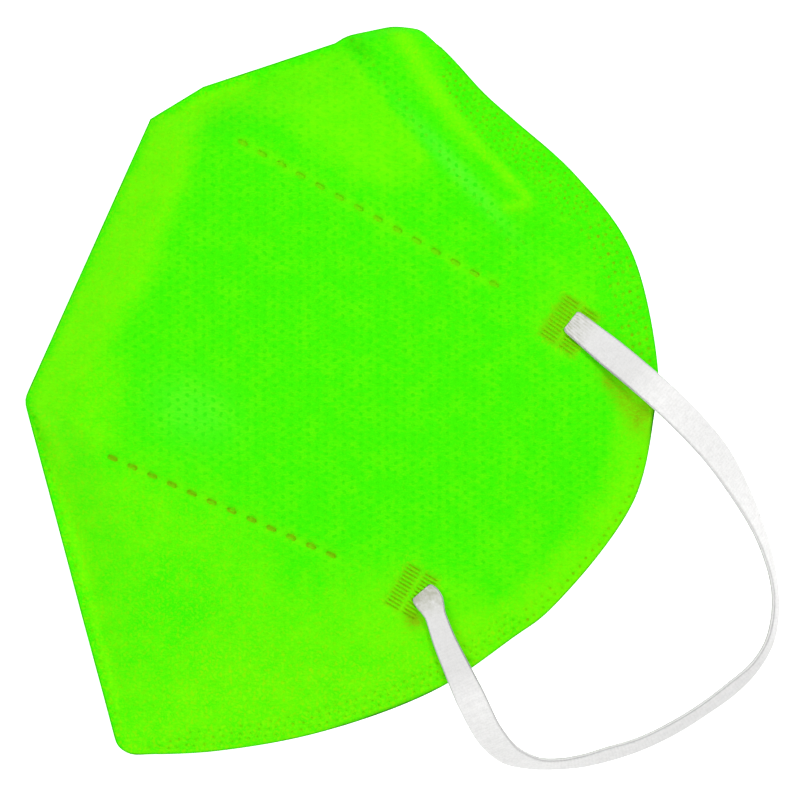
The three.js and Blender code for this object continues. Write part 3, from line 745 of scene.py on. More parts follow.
def shade_tone(points, rib, outline):
    """How far the green turns yellow as painted shade, where the cloth slopes away from the light, and how
    flecked it is.
    """
    off_edge = outline.off("edge", points)
    inside = [near_polygon(points, corners, soft) for corners, soft, _, _ in YELLOW_ZONES]
    yellow = [zone * row[2] for zone, row in zip(inside, YELLOW_ZONES)]
    flecked = [zone * row[3] for zone, row in zip(inside, YELLOW_ZONES)]
    corners, soft, strength = NOSE_PANEL
    across = turned_into(points, BAND_FOOT, BAND_ALONG)[1]
    yellow.append(strength * near_polygon(points, corners, soft) * (1 - smoothstep(across, *NOSE_PANEL_END)))
    distance, travelled = off_line(points, BEAD)
    share, beyond = BEAD_SPREAD
    bead = bell(distance, share * bead_width(travelled) + beyond)
    yellow.append(BEAD_TONE * bead)
    flecked.append(BEAD_FLECKS * bead)
    for first, last, _, _ in DASH_LINES:
        distance = off_line(points, (first, last))[0]
        yellow.append(DASH_TONE * bell(distance, CREASE_WIDTH))
    cheek = CHEEK_TONE * smoothstep(rib, *CHEEK_RIBS) * (1 - smoothstep(rib, *CHIN_RIBS) / 2)
    yellow.append((1 - smoothstep(off_edge, *CHEEK_BAND)) * cheek)
    speckled = np.interp(rib, *zip(*SPECKLED_FLECKS))
    flecked.append(speckled * (1 - smoothstep(off_edge, *SPECKLED_BAND)))
    for patch in PATCHES:
        flecked.append(PATCH_FLECKS * (1 - smoothstep(outside_patch(points, patch), *PATCH_EDGE)))
    tone = np.clip(np.maximum.reduce(yellow) + spots_over(points, YELLOW_SPOTS), 0, 1)
    margin = smoothstep(outline.off("front", points), *FRONT_MARGIN)
    return tone * margin, np.maximum.reduce(flecked)


def spots_over(points, spots):
    return sum(strength * hump(points, *place) for *place, strength in spots)


def new_object(name, data):
    """An object in the scene."""
    made = bpy.data.objects.new(name, data)
    bpy.context.scene.collection.objects.link(made)
    return made


class MeshParts:
    """Points and faces that are gathered into one mesh, with values for each point."""

    def __init__(self):
        self.points, self.values, self.faces, self.materials = [], [], [], []
        self.count = 0

    def add_points(self, points, **values):
        start = self.count
        self.points.append(points)
        self.values.append(values)
        self.count += len(points)
        return np.arange(start, start + len(points))

    def add_faces(self, faces, material):
        self.faces.extend(faces.tolist())
        self.materials.extend(np.broadcast_to(material, len(faces)).tolist())

    def add_strip(self, first, second, material):
        """Faces between two closed rows of points."""
        rows = [first, np.roll(first, -1), np.roll(second, -1), second]
        self.add_faces(np.stack(rows, axis=1), material)

    def build(self, name, materials):
        mesh = bpy.data.meshes.new(name)
        placed = (np.concatenate(self.points) + FOLD_FOOT) * MM
        mesh.from_pydata(placed.tolist(), [], self.faces)
        for material in materials:
            mesh.materials.append(material)
        mesh.polygons.foreach_set("material_index", self.materials)
        mesh.polygons.foreach_set("use_smooth", [True] * len(self.faces))
        for attribute in sorted({attribute for values in self.values for attribute in values}):
            values = np.zeros(self.count, np.float32)
            start = 0
            for points, given in zip(self.points, self.values):
                values[start : start + len(points)] = given.get(attribute, 0)
                start += len(points)
            mesh.attributes.new(attribute, "FLOAT", "POINT").data.foreach_set("value", values)
        mesh.update()
        return new_object(name, mesh)


def add_uv(made, name, per_point):
    """A UV map that gives each point its own place on a pattern, in metres."""
    mesh = made.data
    corners = np.zeros(len(mesh.loops), np.int32)
    mesh.loops.foreach_get("vertex_index", corners)
    layer = mesh.uv_layers.new(name=name)
    layer.data.foreach_set("uv", (per_point[corners] * MM).astype(np.float32).ravel())


class FoldedCloth:
    """The folded cloth as one closed skin: both outer faces, the lining and the rims between them."""

    def __init__(self, settings):
        self.crease = settings.crease / MM
        self.wall = settings.wall / MM
        self.outline = outline = Outline(CLOTH_SPACING)
        self.parts = MeshParts()
        self.edge_count = len(outline.points)
        hollow = (outline.ribs > HOLLOW_RIBS[0]) & (outline.ribs < HOLLOW_RIBS[1])
        self.open_edge = outline.side("edge") & hollow
        self.opening = np.flatnonzero(self.open_edge)
        # Painted shade along stretches of the face edge
        stretches = [dark * bell(outline.ribs - rib, reach) for rib, reach, dark in SHADED_EDGES]
        self.face_edge_shade = sum(stretches) * outline.side("edge")
        self.add_outer_faces(WeldPoints(outline, settings.weld_depth / MM))
        self.add_lining()
        self.add_rims()
        self.close_mouth()

    def add_outer_faces(self, welds):
        """Both halves, with the welds pressed into them and the values that colour them."""
        outline = self.outline
        pressed = np.array(welds.points)
        kept = well_inside(pressed, outline.inset, WELD_MARGIN)
        pressed = pressed[kept]
        edge_rows = [outline.inset - step * outline.outward for step in EDGE_ROWS]
        filling = np.concatenate([*edge_rows, lattice(outline.inset, CLOTH_SPACING, LATTICE_MARGIN)])
        filling = filling[well_inside(filling, outline.inset, EDGE_MARGIN)]
        filling = away_from(filling, pressed, WELD_CLEARANCE)
        plan, triangles = triangulated(outline.inset, np.concatenate([filling, pressed]))
        plain = np.zeros(len(plan) - len(pressed))
        depth, melt_and_shade = (np.concatenate([plain, np.array(row)[kept]]) for row in (welds.depths, welds.melted))
        # The loops' painted shadow, drawn in the colour of the welds
        for *place, _, painted_shadow in DENTS_AND_SHADOWS:
            melt_and_shade = np.maximum(melt_and_shade, painted_shadow * hump(plan, *place))
        over = ribs_over(plan)
        raised = relief(plan) - depth
        # tone: painted shade, drawn as yellow
        tone, flecked = shade_tone(plan, over[0], outline)
        # Painted sheen: pale green spots
        pale = spots_over(plan, SHEEN_SPOTS)
        rim = np.zeros(len(plan))
        # Painted shade at the face edge
        rim[: self.edge_count] = self.face_edge_shade / 2
        self.edge_tone = tone[: self.edge_count]
        self.outer, self.edge_heights = {}, {}
        for half in (1, -1):
            height = cloth_height(plan, half, self.crease, over, raised)
            placed = np.column_stack([plan, half * height])
            outer = self.parts.add_points(placed, weld=melt_and_shade, tone=tone, pale=pale, flecked=flecked, rim=rim)
            faces = outer[triangles]
            self.parts.add_faces(faces if half > 0 else faces[:, ::-1], OUTER_SLOT)
            self.outer[half] = outer[: self.edge_count]
            self.edge_heights[half] = height[: self.edge_count]

    def add_lining(self):
        """The lining, which lies a wall inside and meets itself along the front."""
        outline = self.outline
        ribs = np.linspace(*HOLLOW_RIBS, MEETING_RIBS)[1:-1]
        front, edge = rib_ends(ribs)
        length = np.linalg.norm(edge - front, axis=1)
        inset = straight("flange", ribs) + (self.wall - SEAM / 2) / eased("slope", ribs) + MEETING_INSET
        from_end = np.minimum(ribs - HOLLOW_RIBS[0], HOLLOW_RIBS[1] - ribs)
        opened = smoothstep(from_end, 0, HOLLOW_CLOSING)
        inset = length - RIM + (np.minimum(inset, length / 2) - length + RIM) * opened
        meeting = front + (edge - front) * (inset / length)[:, None]
        meeting = meeting[well_inside(meeting, outline.inset, MEETING_MARGIN)]
        loop = np.concatenate([meeting, outline.inset[self.opening]])
        plan, triangles = triangulated(loop, lattice(loop, LINING_SPACING, LINING_MARGIN))
        over = ribs_over(plan)
        unpressed = smoothstep(outline.off("edge", plan), 0, EDGE_BAND)
        thickness = EDGE_WALL + (self.wall - EDGE_WALL) * unpressed
        parted = smoothstep(off_line(plan, meeting)[0], 0, LINING_RISE)
        met = len(meeting)
        self.mouth = {}
        for half in (1, -1):
            height = cloth_height(plan, half, self.crease, over, -dent_depth(plan)) - thickness
            placed = np.column_stack([plan, half * np.maximum(height, LINING_BLUNT) * parted])
            if half > 0:
                lining = self.parts.add_points(placed)
                self.meeting = lining[:met]
            else:
                lining = np.concatenate([self.meeting, self.parts.add_points(placed[met:])])
            faces = lining[triangles]
            self.parts.add_faces(faces[:, ::-1] if half > 0 else faces, LINING_SLOT)
            self.mouth[half] = lining[met : met + len(self.opening)]

    def add_rims(self):
        """Half round from face to lining at the mouth, and from face to face everywhere else."""
        outline, parts = self.outline, self.parts
        sealed = ~self.open_edge
        rim_line = np.column_stack([outline.points, np.zeros(self.edge_count)])
        self.middle = parts.add_points(rim_line[sealed], tone=self.edge_tone[sealed], rim=RIM_SHADE[-1])
        lined = self.open_edge & np.roll(self.open_edge, -1)
        for half in (1, -1):
            inner = np.zeros(self.edge_count, int)
            inner[sealed] = self.middle
            inner[self.opening] = self.mouth[half]
            inside = np.concatenate(parts.points)[inner][:, 2] * half
            outside = self.edge_heights[half]
            rows = [self.outer[half]]
            for step in range(1, RIM_STEPS):
                share = step / RIM_STEPS
                turn = np.where(sealed, share * math.pi / 2, share * math.pi)
                round_edge = (outside + inside) / 2 + (outside - inside) / 2 * np.cos(turn)
                level = np.where(sealed, outside * np.cos(turn), round_edge)
                place = outline.inset + RIM * np.sin(turn)[:, None] * outline.outward
                placed = np.column_stack([place, half * level])
                # Painted shade on the rounded rim
                dark = RIM_SHADE[step - 1] + self.face_edge_shade
                rows.append(parts.add_points(placed, tone=self.edge_tone, rim=dark))
            rows.append(inner)
            for i, (first, second) in enumerate(zip(rows[:-1], rows[1:])):
                ahead, back = (second, first) if half > 0 else (first, second)
                slots = np.where(lined & (i == RIM_STEPS - 1), LINING_SLOT, OUTER_SLOT)
                parts.add_strip(ahead, back, slots)

    def close_mouth(self):
        """A small face at each end of the mouth."""
        sealed = ~self.open_edge
        chin_side = np.count_nonzero(sealed[: self.opening[0]]) - 1
        nose_side = np.count_nonzero(sealed[: self.opening[-1] + 1])
        upper, lower = self.mouth[1], self.mouth[-1]
        chin = (self.middle[chin_side], lower[0], self.meeting[-1], upper[0])
        nose = (upper[-1], self.meeting[0], lower[-1], self.middle[nose_side])
        self.parts.add_faces(np.array([nose, chin]), LINING_SLOT)

    def flat_area(self):
        """Area of both halves laid flat, in square metres."""
        loop = self.outline.points
        after = np.roll(loop, -1, axis=0)
        half_area = abs((loop[:, 0] * after[:, 1] - loop[:, 1] * after[:, 0]).sum()) / 2
        return 2 * half_area * MM**2


def make_cloth(settings):
    """The cloth's object and its flat area in square metres."""
    folded = FoldedCloth(settings)
    cloth = folded.parts.build("mask_cloth", [cloth_material(settings), lining_material(settings)])
    add_uv(cloth, "plan", np.concatenate(folded.parts.points)[:, :2])
    return cloth, folded.flat_area()


def tape_stations(rows, half, settings, crease):
    """Rings along a loop: middles, tilts, distances from its start, shares of the thickness, pressing, and
    how far each lies on the cloth."""
    width, thickness = settings.width / MM, settings.thickness / MM
    plan = np.array([row[:2] for row in rows], float)
    places = np.arange(len(rows), dtype=float)
    after = curve_through(plan, np.minimum(places + ROUTE_NUDGE, places[-1]))
    before = curve_through(plan, places - ROUTE_NUDGE * (places > 0))
    ahead = unit(after - before)
    right_hand = np.stack([ahead[:, 1], -ahead[:, 0]], axis=1)
    sides = (plan + right_hand * side * width / 2 for side in (0, -1, 1))
    centre, left, right = (cloth_height(side, half, crease) for side in sides)
    on_cloth = np.array([len(row) == 2 for row in rows])
    given = np.array([row[2:] if len(row) > 2 else (0, 0) for row in rows], float)
    tilt = np.where(on_cloth, np.arctan2(half * (right - left), width), np.radians(given[:, 0]))
    standing = given[:, 1] + (width * np.abs(np.sin(tilt)) + thickness * np.cos(tilt)) / 2 - REST_DEPTH
    level = np.where(on_cloth, half * (centre + TAPE_GAP + thickness / 2), standing)
    points = np.column_stack([plan, level])
    fine_places = np.linspace(0, places[-1], ROUTE_SAMPLES)
    travelled = travelled_along(curve_through(points, fine_places))
    length = travelled[-1]
    even = np.linspace(0, length, round(length / TAPE_STEP) + 1)
    end_rings = np.array(END_RINGS)
    distances = np.unique(np.concatenate([even, end_rings, length - end_rings]))
    at = np.interp(distances, travelled, fine_places)
    middles = curve_through(points, at)
    lying = np.interp(at, places, on_cloth.astype(float))
    pressed = 1 - smoothstep(np.minimum(distances, length - distances), *WELDED_END)
    shares = 1 - (1 - WELDED_THICKNESS) * pressed
    resting = cloth_height(middles[:, :2], half, crease) + TAPE_GAP * (1 - pressed) + thickness / 2 * shares
    middles[:, 2] = np.where(lying > FULLY_ON_CLOTH, half * resting, middles[:, 2])
    return middles, eased_between(tilt, at), distances, shares, pressed, lying


def tape_section(width, thickness, wales):
    """Corners round a flat tape as (across, outwards), and which lie in a groove or on the selvedge."""
    reach = width / 2
    flat = reach - TAPE_EDGE
    across = np.linspace(flat, -flat, wales * WALE_SAMPLES + 1)
    ridge = 0.5 + 0.5 * np.cos(2 * math.pi * (across / (2 * flat) * wales + wales / 2 + 0.5))
    top = np.column_stack([across, np.full(len(across), thickness / 2)])
    turns = np.radians(EDGE_TURNS)
    round_end = np.column_stack([flat + TAPE_EDGE * np.cos(turns), thickness / 2 * np.sin(turns)])
    corners = np.concatenate([top, -round_end[::-1] * [1, -1], -top, round_end[::-1]])
    groove = np.tile(np.concatenate([1 - ridge, np.zeros(len(turns))]), 2)
    selvedge_shade = np.tile(np.concatenate([np.zeros(len(top)), np.ones(len(turns))]), 2)
    return corners, groove, selvedge_shade


def make_tape(name, rows, half, settings, crease, material):
    """A loop of flat elastic, and the points down its middle in the frame."""
    width, thickness = settings.width / MM, settings.thickness / MM
    middles, tilts, distances, shares, pressed, lying = tape_stations(rows, half, settings, crease)
    ahead = unit(np.gradient(middles, axis=0))
    right_hand = unit(np.cross(ahead, [0, 0, 1]))
    level = np.cross(right_hand, ahead)
    outward = level * np.cos(tilts)[:, None] - right_hand * np.sin(tilts)[:, None]
    across = np.cross(outward, ahead)
    section, groove, selvedge_shade = tape_section(width, thickness, settings.wales)
    widths = np.interp(distances, *zip(*UPPER_END)) * np.interp(distances[-1] - distances, *zip(*LOWER_END))
    ridged = distances < distances[-1] / 2
    grooves = GROOVE + (PRESSED_GROOVE - GROOVE) * pressed * ridged
    parts = MeshParts()
    rings, pattern = [], []
    for i, middle in enumerate(middles):
        out = section[:, 1] * shares[i]
        out = out - np.sign(out) * groove * grooves[i]
        ring = middle + np.outer(section[:, 0] * widths[i], across[i]) + np.outer(out, outward[i])
        # In the upper end's grooves the melt colour is also painted shade
        melt_and_shade = RIDGED_MELT_AND_SHADE[0] + RIDGED_MELT_AND_SHADE[1] * groove if ridged[i] else PLAIN_MELT
        rings.append(parts.add_points(ring, weld=pressed[i] * melt_and_shade, rim=selvedge_shade, tone=lying[i]))
        pattern.append(np.column_stack([section[:, 0], np.full(len(section), distances[i])]))
    for first, second in zip(rings[:-1], rings[1:]):
        parts.add_strip(first, second, 0)
    for ring, i, turned in ((rings[0], 0, True), (rings[-1], -1, False)):
        hub = parts.add_points(middles[[i]], weld=1.0, rim=1.0)
        pattern.append(np.array([[0, distances[i]]]))
        fan = np.stack([ring, np.roll(ring, -1), np.full(len(ring), hub[0])], axis=1)
        parts.add_faces(fan[:, ::-1] if turned else fan, 0)
    tape = parts.build(name, [material])
    add_uv(tape, "tape", np.concatenate(pattern))
    return tape, (middles + FOLD_FOOT) * MM


def set_inputs(tree, node, inputs):
    """Inputs of a node, each a value or another node's socket."""
    for name, value in inputs.items():
        if isinstance(value, bpy.types.NodeSocket):
            tree.links.new(value, node.inputs[name])
        else:
            node.inputs[name].default_value = value


def add_node(tree, kind, inputs=None, **settings):
    """A shader node with its settings and inputs."""
    made = tree.nodes.new(kind)
    for name, value in settings.items():
        setattr(made, name, value)
    set_inputs(tree, made, inputs or {})
    return made


def maths(tree, operation, *values, clamp=False):
    inputs = dict(enumerate(values))
    return add_node(tree, "ShaderNodeMath", inputs, operation=operation, use_clamp=clamp).outputs[0]


def scaled(tree, value, factor, plus=0.0, clamp=False):
    return maths(tree, "MULTIPLY_ADD", value, factor, plus, clamp=clamp)


def noise(tree, place, name, output=0):
    scale, detail, curl = NOISES[name]
    inputs = {"Vector": place, "Scale": scale, "Detail": detail, "Distortion": curl}
    return add_node(tree, "ShaderNodeTexNoise", inputs).outputs[output]


def ranged(tree, value, low, high, shape="LINEAR"):
    """0 at a low value and 1 at a high one."""
    inputs = {"Value": value, "From Min": low, "From Max": high}
    return add_node(tree, "ShaderNodeMapRange", inputs, interpolation_type=shape).outputs["Result"]


def mixed(tree, share, *colours):
    """A colour between two, by a share. Each is a socket, or its red, green and blue."""
    whole = [colour if isinstance(colour, bpy.types.NodeSocket) else (*colour, 1) for colour in colours]
    inputs = dict(zip(MIX_INPUTS, (share, *whole)))
    return add_node(tree, "ShaderNodeMix", inputs, data_type="RGBA").outputs[MIX_OUTPUT]


def shaded(colour, share):
    return tuple(share * part for part in colour)


def bonded_fibres():
    """Node group: a nonwoven's bond points in staggered rows, its loose fibres and its cloudy thickness."""
    found = bpy.data.node_groups.get("bonded_fibres")
    if found:
        return found
    tree = bpy.data.node_groups.new("bonded_fibres", "ShaderNodeTree")
    tree.interface.new_socket("Place", in_out="INPUT", socket_type="NodeSocketVector")
    for name in ("Pitch", "Row Gap", "Point Radius"):
        tree.interface.new_socket(name, in_out="INPUT", socket_type="NodeSocketFloat")
    for name in ("Points", "Fibres", "Clouds", "Flecks", "Glints"):
        tree.interface.new_socket(name, in_out="OUTPUT", socket_type="NodeSocketFloat")
    given = tree.nodes.new("NodeGroupInput").outputs
    place = given["Place"]
    stray = {0: noise(tree, place, "stray", output="Color"), 1: (0.5, 0.5, 0.5)}
    centred = add_node(tree, "ShaderNodeVectorMath", stray, operation="SUBTRACT").outputs[0]
    moved = {0: centred, 1: (STRAY_REACH, STRAY_REACH, 0.0), 2: place}
    strayed = add_node(tree, "ShaderNodeVectorMath", moved, operation="MULTIPLY_ADD").outputs[0]
    parted = add_node(tree, "ShaderNodeSeparateXYZ", {"Vector": strayed}).outputs
    double_row = maths(tree, "MULTIPLY", given["Row Gap"], 2.0)
    distances = []
    for shift in (0.0, 0.5):
        squares = []
        for axis, pitch in (("X", given["Pitch"]), ("Y", double_row)):
            cells = maths(tree, "ADD", maths(tree, "DIVIDE", parted[axis], pitch), shift)
            share = maths(tree, "SUBTRACT", maths(tree, "FRACT", cells), 0.5)
            from_point = maths(tree, "MULTIPLY", share, pitch)
            squares.append(maths(tree, "MULTIPLY", from_point, from_point))
        distances.append(maths(tree, "SQRT", maths(tree, "ADD", *squares)))
    radii = maths(tree, "DIVIDE", maths(tree, "MINIMUM", *distances), given["Point Radius"])
    drawn = add_node(tree, "ShaderNodeMapping", {"Vector": place, "Scale": (1.0, FIBRE_DRAW, 1.0)}).outputs[0]
    grains = noise(tree, place, "grains")
    made = {
        "Points": ranged(tree, radii, *POINT_EDGE, shape="SMOOTHSTEP"),
        "Fibres": noise(tree, drawn, "fibres"),
        "Clouds": noise(tree, place, "clouds"),
        "Flecks": ranged(tree, grains, *FLECK_RANGE),
        "Glints": ranged(tree, grains, *GLINT_RANGE),
    }
    add_node(tree, "NodeGroupOutput", made)
    return tree


def new_material(name):
    """A material with its shader's plain values set, its node tree and its shader."""
    material = bpy.data.materials.new(name)
    material.use_nodes = True
    tree = material.node_tree
    shader = tree.nodes["Principled BSDF"]
    roughness, specular, sheen, _, _ = FINISHES[name]
    plain = {"Roughness": roughness, "Specular IOR Level": specular, "Sheen Weight": sheen}
    set_inputs(tree, shader, plain)
    return material, tree, shader


def point_value(tree, name):
    return add_node(tree, "ShaderNodeAttribute", attribute_name=name).outputs["Fac"]


def bumped(tree, height, name):
    """The normal of a finish, from the height of its pattern."""
    *_, distance, strength = FINISHES[name]
    inputs = {"Height": height, "Distance": distance, "Strength": strength}
    return add_node(tree, "ShaderNodeBump", inputs).outputs[0]


def fibre_nodes(tree, settings):
    """The nonwoven's pattern, placed on the plan of the cloth with its rows at a slant."""
    plan = add_node(tree, "ShaderNodeUVMap", uv_map="plan").outputs[0]
    slant = (0, 0, settings.bond_turn)
    inputs = {
        "Place": add_node(tree, "ShaderNodeMapping", {"Vector": plan, "Rotation": slant}).outputs[0],
        "Pitch": settings.bond_pitch,
        "Row Gap": settings.bond_row,
        "Point Radius": settings.bond_radius,
    }
    return add_node(tree, "ShaderNodeGroup", inputs, node_tree=bonded_fibres()).outputs


def bonded_height(tree, fibres):
    """Height of the nonwoven: bond points pressed in, fibres standing out."""
    pressed = maths(tree, "MULTIPLY", fibres["Points"], -1.0)
    return scaled(tree, fibres["Fibres"], FIBRE_RISE, pressed)


def cloth_material(settings):
    """The bright outer nonwoven: painted shade drawn yellow, painted sheen drawn pale, painted shade at the
    rims, olive where welds melted it and where the loops' painted shadow falls.
    """
    material, tree, shader = new_material("bright_nonwoven")
    fibres = fibre_nodes(tree, settings)
    values = ("tone", "weld", "pale", "rim", "flecked")
    tone, melt_and_shade, pale, rim, flecked = (point_value(tree, name) for name in values)
    cloudy = scaled(tree, fibres["Clouds"], *MOTTLED_CLOUDS)
    mottled = scaled(tree, fibres["Fibres"], MOTTLED_FIBRES, cloudy)
    # Painted sheen, pale green, follows the fibres
    sheen_grain = scaled(tree, fibres["Fibres"], SHEEN_FIBRES)
    patchy = scaled(tree, pale, POINT_PALE, scaled(tree, fibres["Clouds"], *POINT_CLOUDS))
    visible = maths(tree, "MULTIPLY", patchy, scaled(tree, tone, *POINT_TONE))
    point_colour = mixed(tree, flecked, settings.bond_colour, settings.fleck_colour)
    fleck_share = scaled(tree, flecked, *FLECK_SHARE)
    glint_share = maths(tree, "MULTIPLY", flecked, GLINT_SHARE)
    uneven = scaled(tree, fibres["Fibres"], *MELTED_FIBRES)
    # Painted shade at the rims, broken up by the clouds
    edge_shade_share = scaled(tree, fibres["Clouds"], *EDGE_SHADE_CLOUDS)
    # Painted shade: the tone turns the green yellow
    yellowed = maths(tree, "ADD", tone, mottled, clamp=True)
    colour = mixed(tree, yellowed, settings.colour, settings.shade_yellow_colour)
    layers = (
        (pale, sheen_grain, settings.sheen_colour),
        (fibres["Points"], visible, point_colour),
        (fibres["Flecks"], fleck_share, settings.fleck_colour),
        (fibres["Glints"], glint_share, settings.glint_colour),
        # The olive of melted welds, which also draws the loops' painted shadow
        (melt_and_shade, uneven, settings.melt_and_shade_colour),
        (rim, edge_shade_share, settings.rim_shade_colour),
    )
    for mask, strength, covering in layers:
        share = maths(tree, "MULTIPLY", mask, strength, clamp=True)
        colour = mixed(tree, share, colour, covering)
    roughness = scaled(tree, melt_and_shade, *MELTED_ROUGHNESS)
    normal = bumped(tree, bonded_height(tree, fibres), "bright_nonwoven")
    set_inputs(tree, shader, {"Base Color": colour, "Roughness": roughness, "Normal": normal})
    return material


def lining_material(settings):
    """The plain inner nonwoven."""
    material, tree, shader = new_material("pale_lining")
    fibres = fibre_nodes(tree, settings)
    share = maths(tree, "MULTIPLY", fibres["Points"], LINING_POINTS)
    colour = mixed(tree, share, settings.lining_colour, shaded(settings.lining_colour, LINING_SHADE))
    normal = bumped(tree, bonded_height(tree, fibres), "pale_lining")
    set_inputs(tree, shader, {"Base Color": colour, "Normal": normal})
    return material


def elastic_material(settings):
    """Knitted elastic: wales along the tape, fine stitches across it."""
    material, tree, shader = new_material("white_elastic")
    place = add_node(tree, "ShaderNodeUVMap", uv_map="tape").outputs[0]
    parted = add_node(tree, "ShaderNodeSeparateXYZ", {"Vector": place}).outputs
    across = maths(tree, "MULTIPLY", parted["X"], 2 * math.pi * settings.wales / settings.width)
    lean = maths(tree, "ABSOLUTE", maths(tree, "SINE", across))
    leaning = maths(tree, "MULTIPLY", lean, STITCH_LEAN)
    along = scaled(tree, parted["Y"], 2 * math.pi / settings.stitch, leaning)
    stitches = scaled(tree, maths(tree, "SINE", along), 0.5, 0.5)
    knitted = maths(tree, "MULTIPLY", stitches, FUZZ_STITCHES)
    fuzz = scaled(tree, noise(tree, place, "fuzz"), FUZZ_NOISE, knitted)
    blotches = noise(tree, place, "blotches")
    grain = scaled(tree, fuzz, WORN_FUZZ, scaled(tree, blotches, *WORN_BLOTCHES), clamp=True)
    uneven = scaled(tree, blotches, *MELTED_BLOTCHES)
    melt_and_shade = maths(tree, "MULTIPLY", point_value(tree, "weld"), uneven, clamp=True)
    on_cloth = point_value(tree, "tone")
    on_cloth_grey = maths(tree, "MULTIPLY", on_cloth, ON_CLOTH_GREY)
    edge_share = scaled(tree, on_cloth, *EDGE_SHARE)
    # Painted shade on the elastic's edges, darker where it lies on the cloth
    selvedge_shade = scaled(tree, point_value(tree, "rim"), edge_share, on_cloth_grey, clamp=True)
    colour = mixed(tree, grain, settings.colour, shaded(settings.colour, WORN_SHADE))
    colour = mixed(tree, melt_and_shade, colour, settings.melt_and_shade_colour)
    colour = mixed(tree, selvedge_shade, colour, settings.selvedge_shade_colour)
    set_inputs(tree, shader, {"Base Color": colour, "Normal": bumped(tree, fuzz, "white_elastic")})
    return material


def wire_material():
    """Satin aluminium with fine lines from rolling."""
    material, tree, shader = new_material("rolled_aluminium")
    place = add_node(tree, "ShaderNodeTexCoord").outputs["Object"]
    drawn = add_node(tree, "ShaderNodeMapping", {"Vector": place, "Scale": ROLLED_DRAW}).outputs[0]
    lines = noise(tree, drawn, "rolled_lines")
    inputs = {
        "Metallic": 1.0,
        "Base Color": mixed(tree, lines, *ROLLED_COLOURS),
        "Roughness": scaled(tree, lines, *ROLLED_ROUGHNESS),
        "Normal": bumped(tree, lines, "rolled_aluminium"),
    }
    set_inputs(tree, shader, inputs)
    return material


def floor_material(settings):
    """Pale seamless paper that the camera sees brighter than it lights the mask."""
    material, tree, shader = new_material("pale_paper")
    place = add_node(tree, "ShaderNodeTexCoord").outputs["Object"]
    grain = noise(tree, place, "paper_grain")
    colour = mixed(tree, grain, settings.floor_colour, shaded(settings.floor_colour, PAPER_SHADE))
    seen = add_node(tree, "ShaderNodeLightPath").outputs["Is Camera Ray"]
    glow = scaled(tree, seen, settings.floor_glow - settings.floor_bounce, settings.floor_bounce)
    set_inputs(tree, shader, {"Base Color": colour, "Emission Color": WHITE, "Emission Strength": glow})
    return material


def add_lamp(name, place, target, size, power, colour):
    """A square soft light that faces a point."""
    lamp = bpy.data.lights.new(name, "AREA")
    lamp.size = size
    lamp.energy = power
    lamp.color = colour
    made = new_object(name, lamp)
    made.location = place
    made.rotation_euler = (Vector(target) - Vector(place)).to_track_quat("-Z", "Y").to_euler()


def number_property(name, description, default, **kind):
    return FloatProperty(name=name, description=description, default=default, **kind)


def length_property(name, description, default):
    return number_property(name, description, default, unit="LENGTH")


def colour_property(name, description, default):
    kind = {"subtype": "COLOR", "min": 0, "max": 1}
    return FloatVectorProperty(name=name, description=description, default=default, **kind)


class ClothSettings(bpy.types.PropertyGroup):
    wall: length_property("Wall", "Thickness of the laminated cloth", 0.0015)
    crease: length_property("Crease", "How softly the front slope turns into the panel", 0.002)
    weld_depth: length_property("Weld Depth", "Depth of the dashes", 0.0004)
    bond_pitch: length_property("Bond Pitch", "Distance between bond points in a row", 0.00194)
    bond_row: length_property("Bond Rows", "Distance between rows of bond points", 0.00173)
    bond_radius: length_property("Bond Radius", "Of a bond point", 0.0004)
    bond_turn: number_property("Bond Slant", "Slant of the bond rows", math.radians(65.8), subtype="ANGLE")
    colour: colour_property("Colour", "Outer cloth", (0.043, 0.825, 0.001))
    # The yellow that draws painted shade
    shade_yellow_colour: colour_property("Stretched", "Cloth over folds", (0.145, 0.855, 0.001))
    # The pale green of painted sheen
    sheen_colour: colour_property("Rubbed", "Cloth whose fibres are rubbed up", (0.1, 0.9, 0.03))
    bond_colour: colour_property("Bond Points", "Bond points of the cloth", (0.004, 0.7, 0.001))
    fleck_colour: colour_property("Flecks", "Coarse fibres", (0.3, 0.76, 0.001))
    glint_colour: colour_property("Glints", "Bright fibres among the flecks", (0.25, 0.88, 0.002))
    # Melted cloth, also used for the loops' painted shadow
    melt_and_shade_colour: colour_property("Welds", "Melted cloth", (0.2, 0.5, 0.001))
    # The colour of the painted shade at the rims and edges
    rim_shade_colour: colour_property("Cut Edge", "Edge of the cloth", (0.02, 0.2, 0.004))
    lining_colour: colour_property("Lining", "Inner cloth", (0.8, 0.81, 0.79))


class EarLoopSettings(bpy.types.PropertyGroup):
    width: length_property("Width", "Width of the elastic", 0.006)
    thickness: length_property("Thickness", "Thickness of the elastic", 0.0009)
    wales: IntProperty(name="Wales", description="Ribs of knitting across the elastic", default=8)
    stitch: length_property("Stitch", "Length of a stitch", 0.0007)
    colour: colour_property("Colour", "Elastic", (0.85, 0.85, 0.85))
    # Melted ends, also used for the painted shade in the grooves of the upper end
    melt_and_shade_colour: colour_property("Welded End", "Grooves of the pressed ends", (0.42, 0.44, 0.32))
    # The grey of the painted shade at the edges of the elastic
    selvedge_shade_colour: colour_property("Selvedge", "Edges of the elastic", (0.45, 0.45, 0.45))


class StageSettings(bpy.types.PropertyGroup):
    lens: number_property("Lens", "Focal length", 300.0, min=10, unit="CAMERA")
    floor_size: length_property("Floor", "Side of the floor", 8.0)
    floor_colour: colour_property("Floor Colour", "Paper", (0.8, 0.8, 0.8))
    floor_glow: number_property("Floor Glow", "Light from the paper to the camera", 0.8)
    floor_bounce: number_property("Floor Bounce", "Light from the paper to the mask", 0.5)
    fill: number_property("Fill", "Light from all round", 0.45)
    key: number_property("Key", "Power of the main light", 8.0, unit="POWER")
    side: number_property("Side", "Power of the soft light at the lower left", 5.9, unit="POWER")
    top: number_property("Top", "Power of the soft light above", 8.2, unit="POWER")


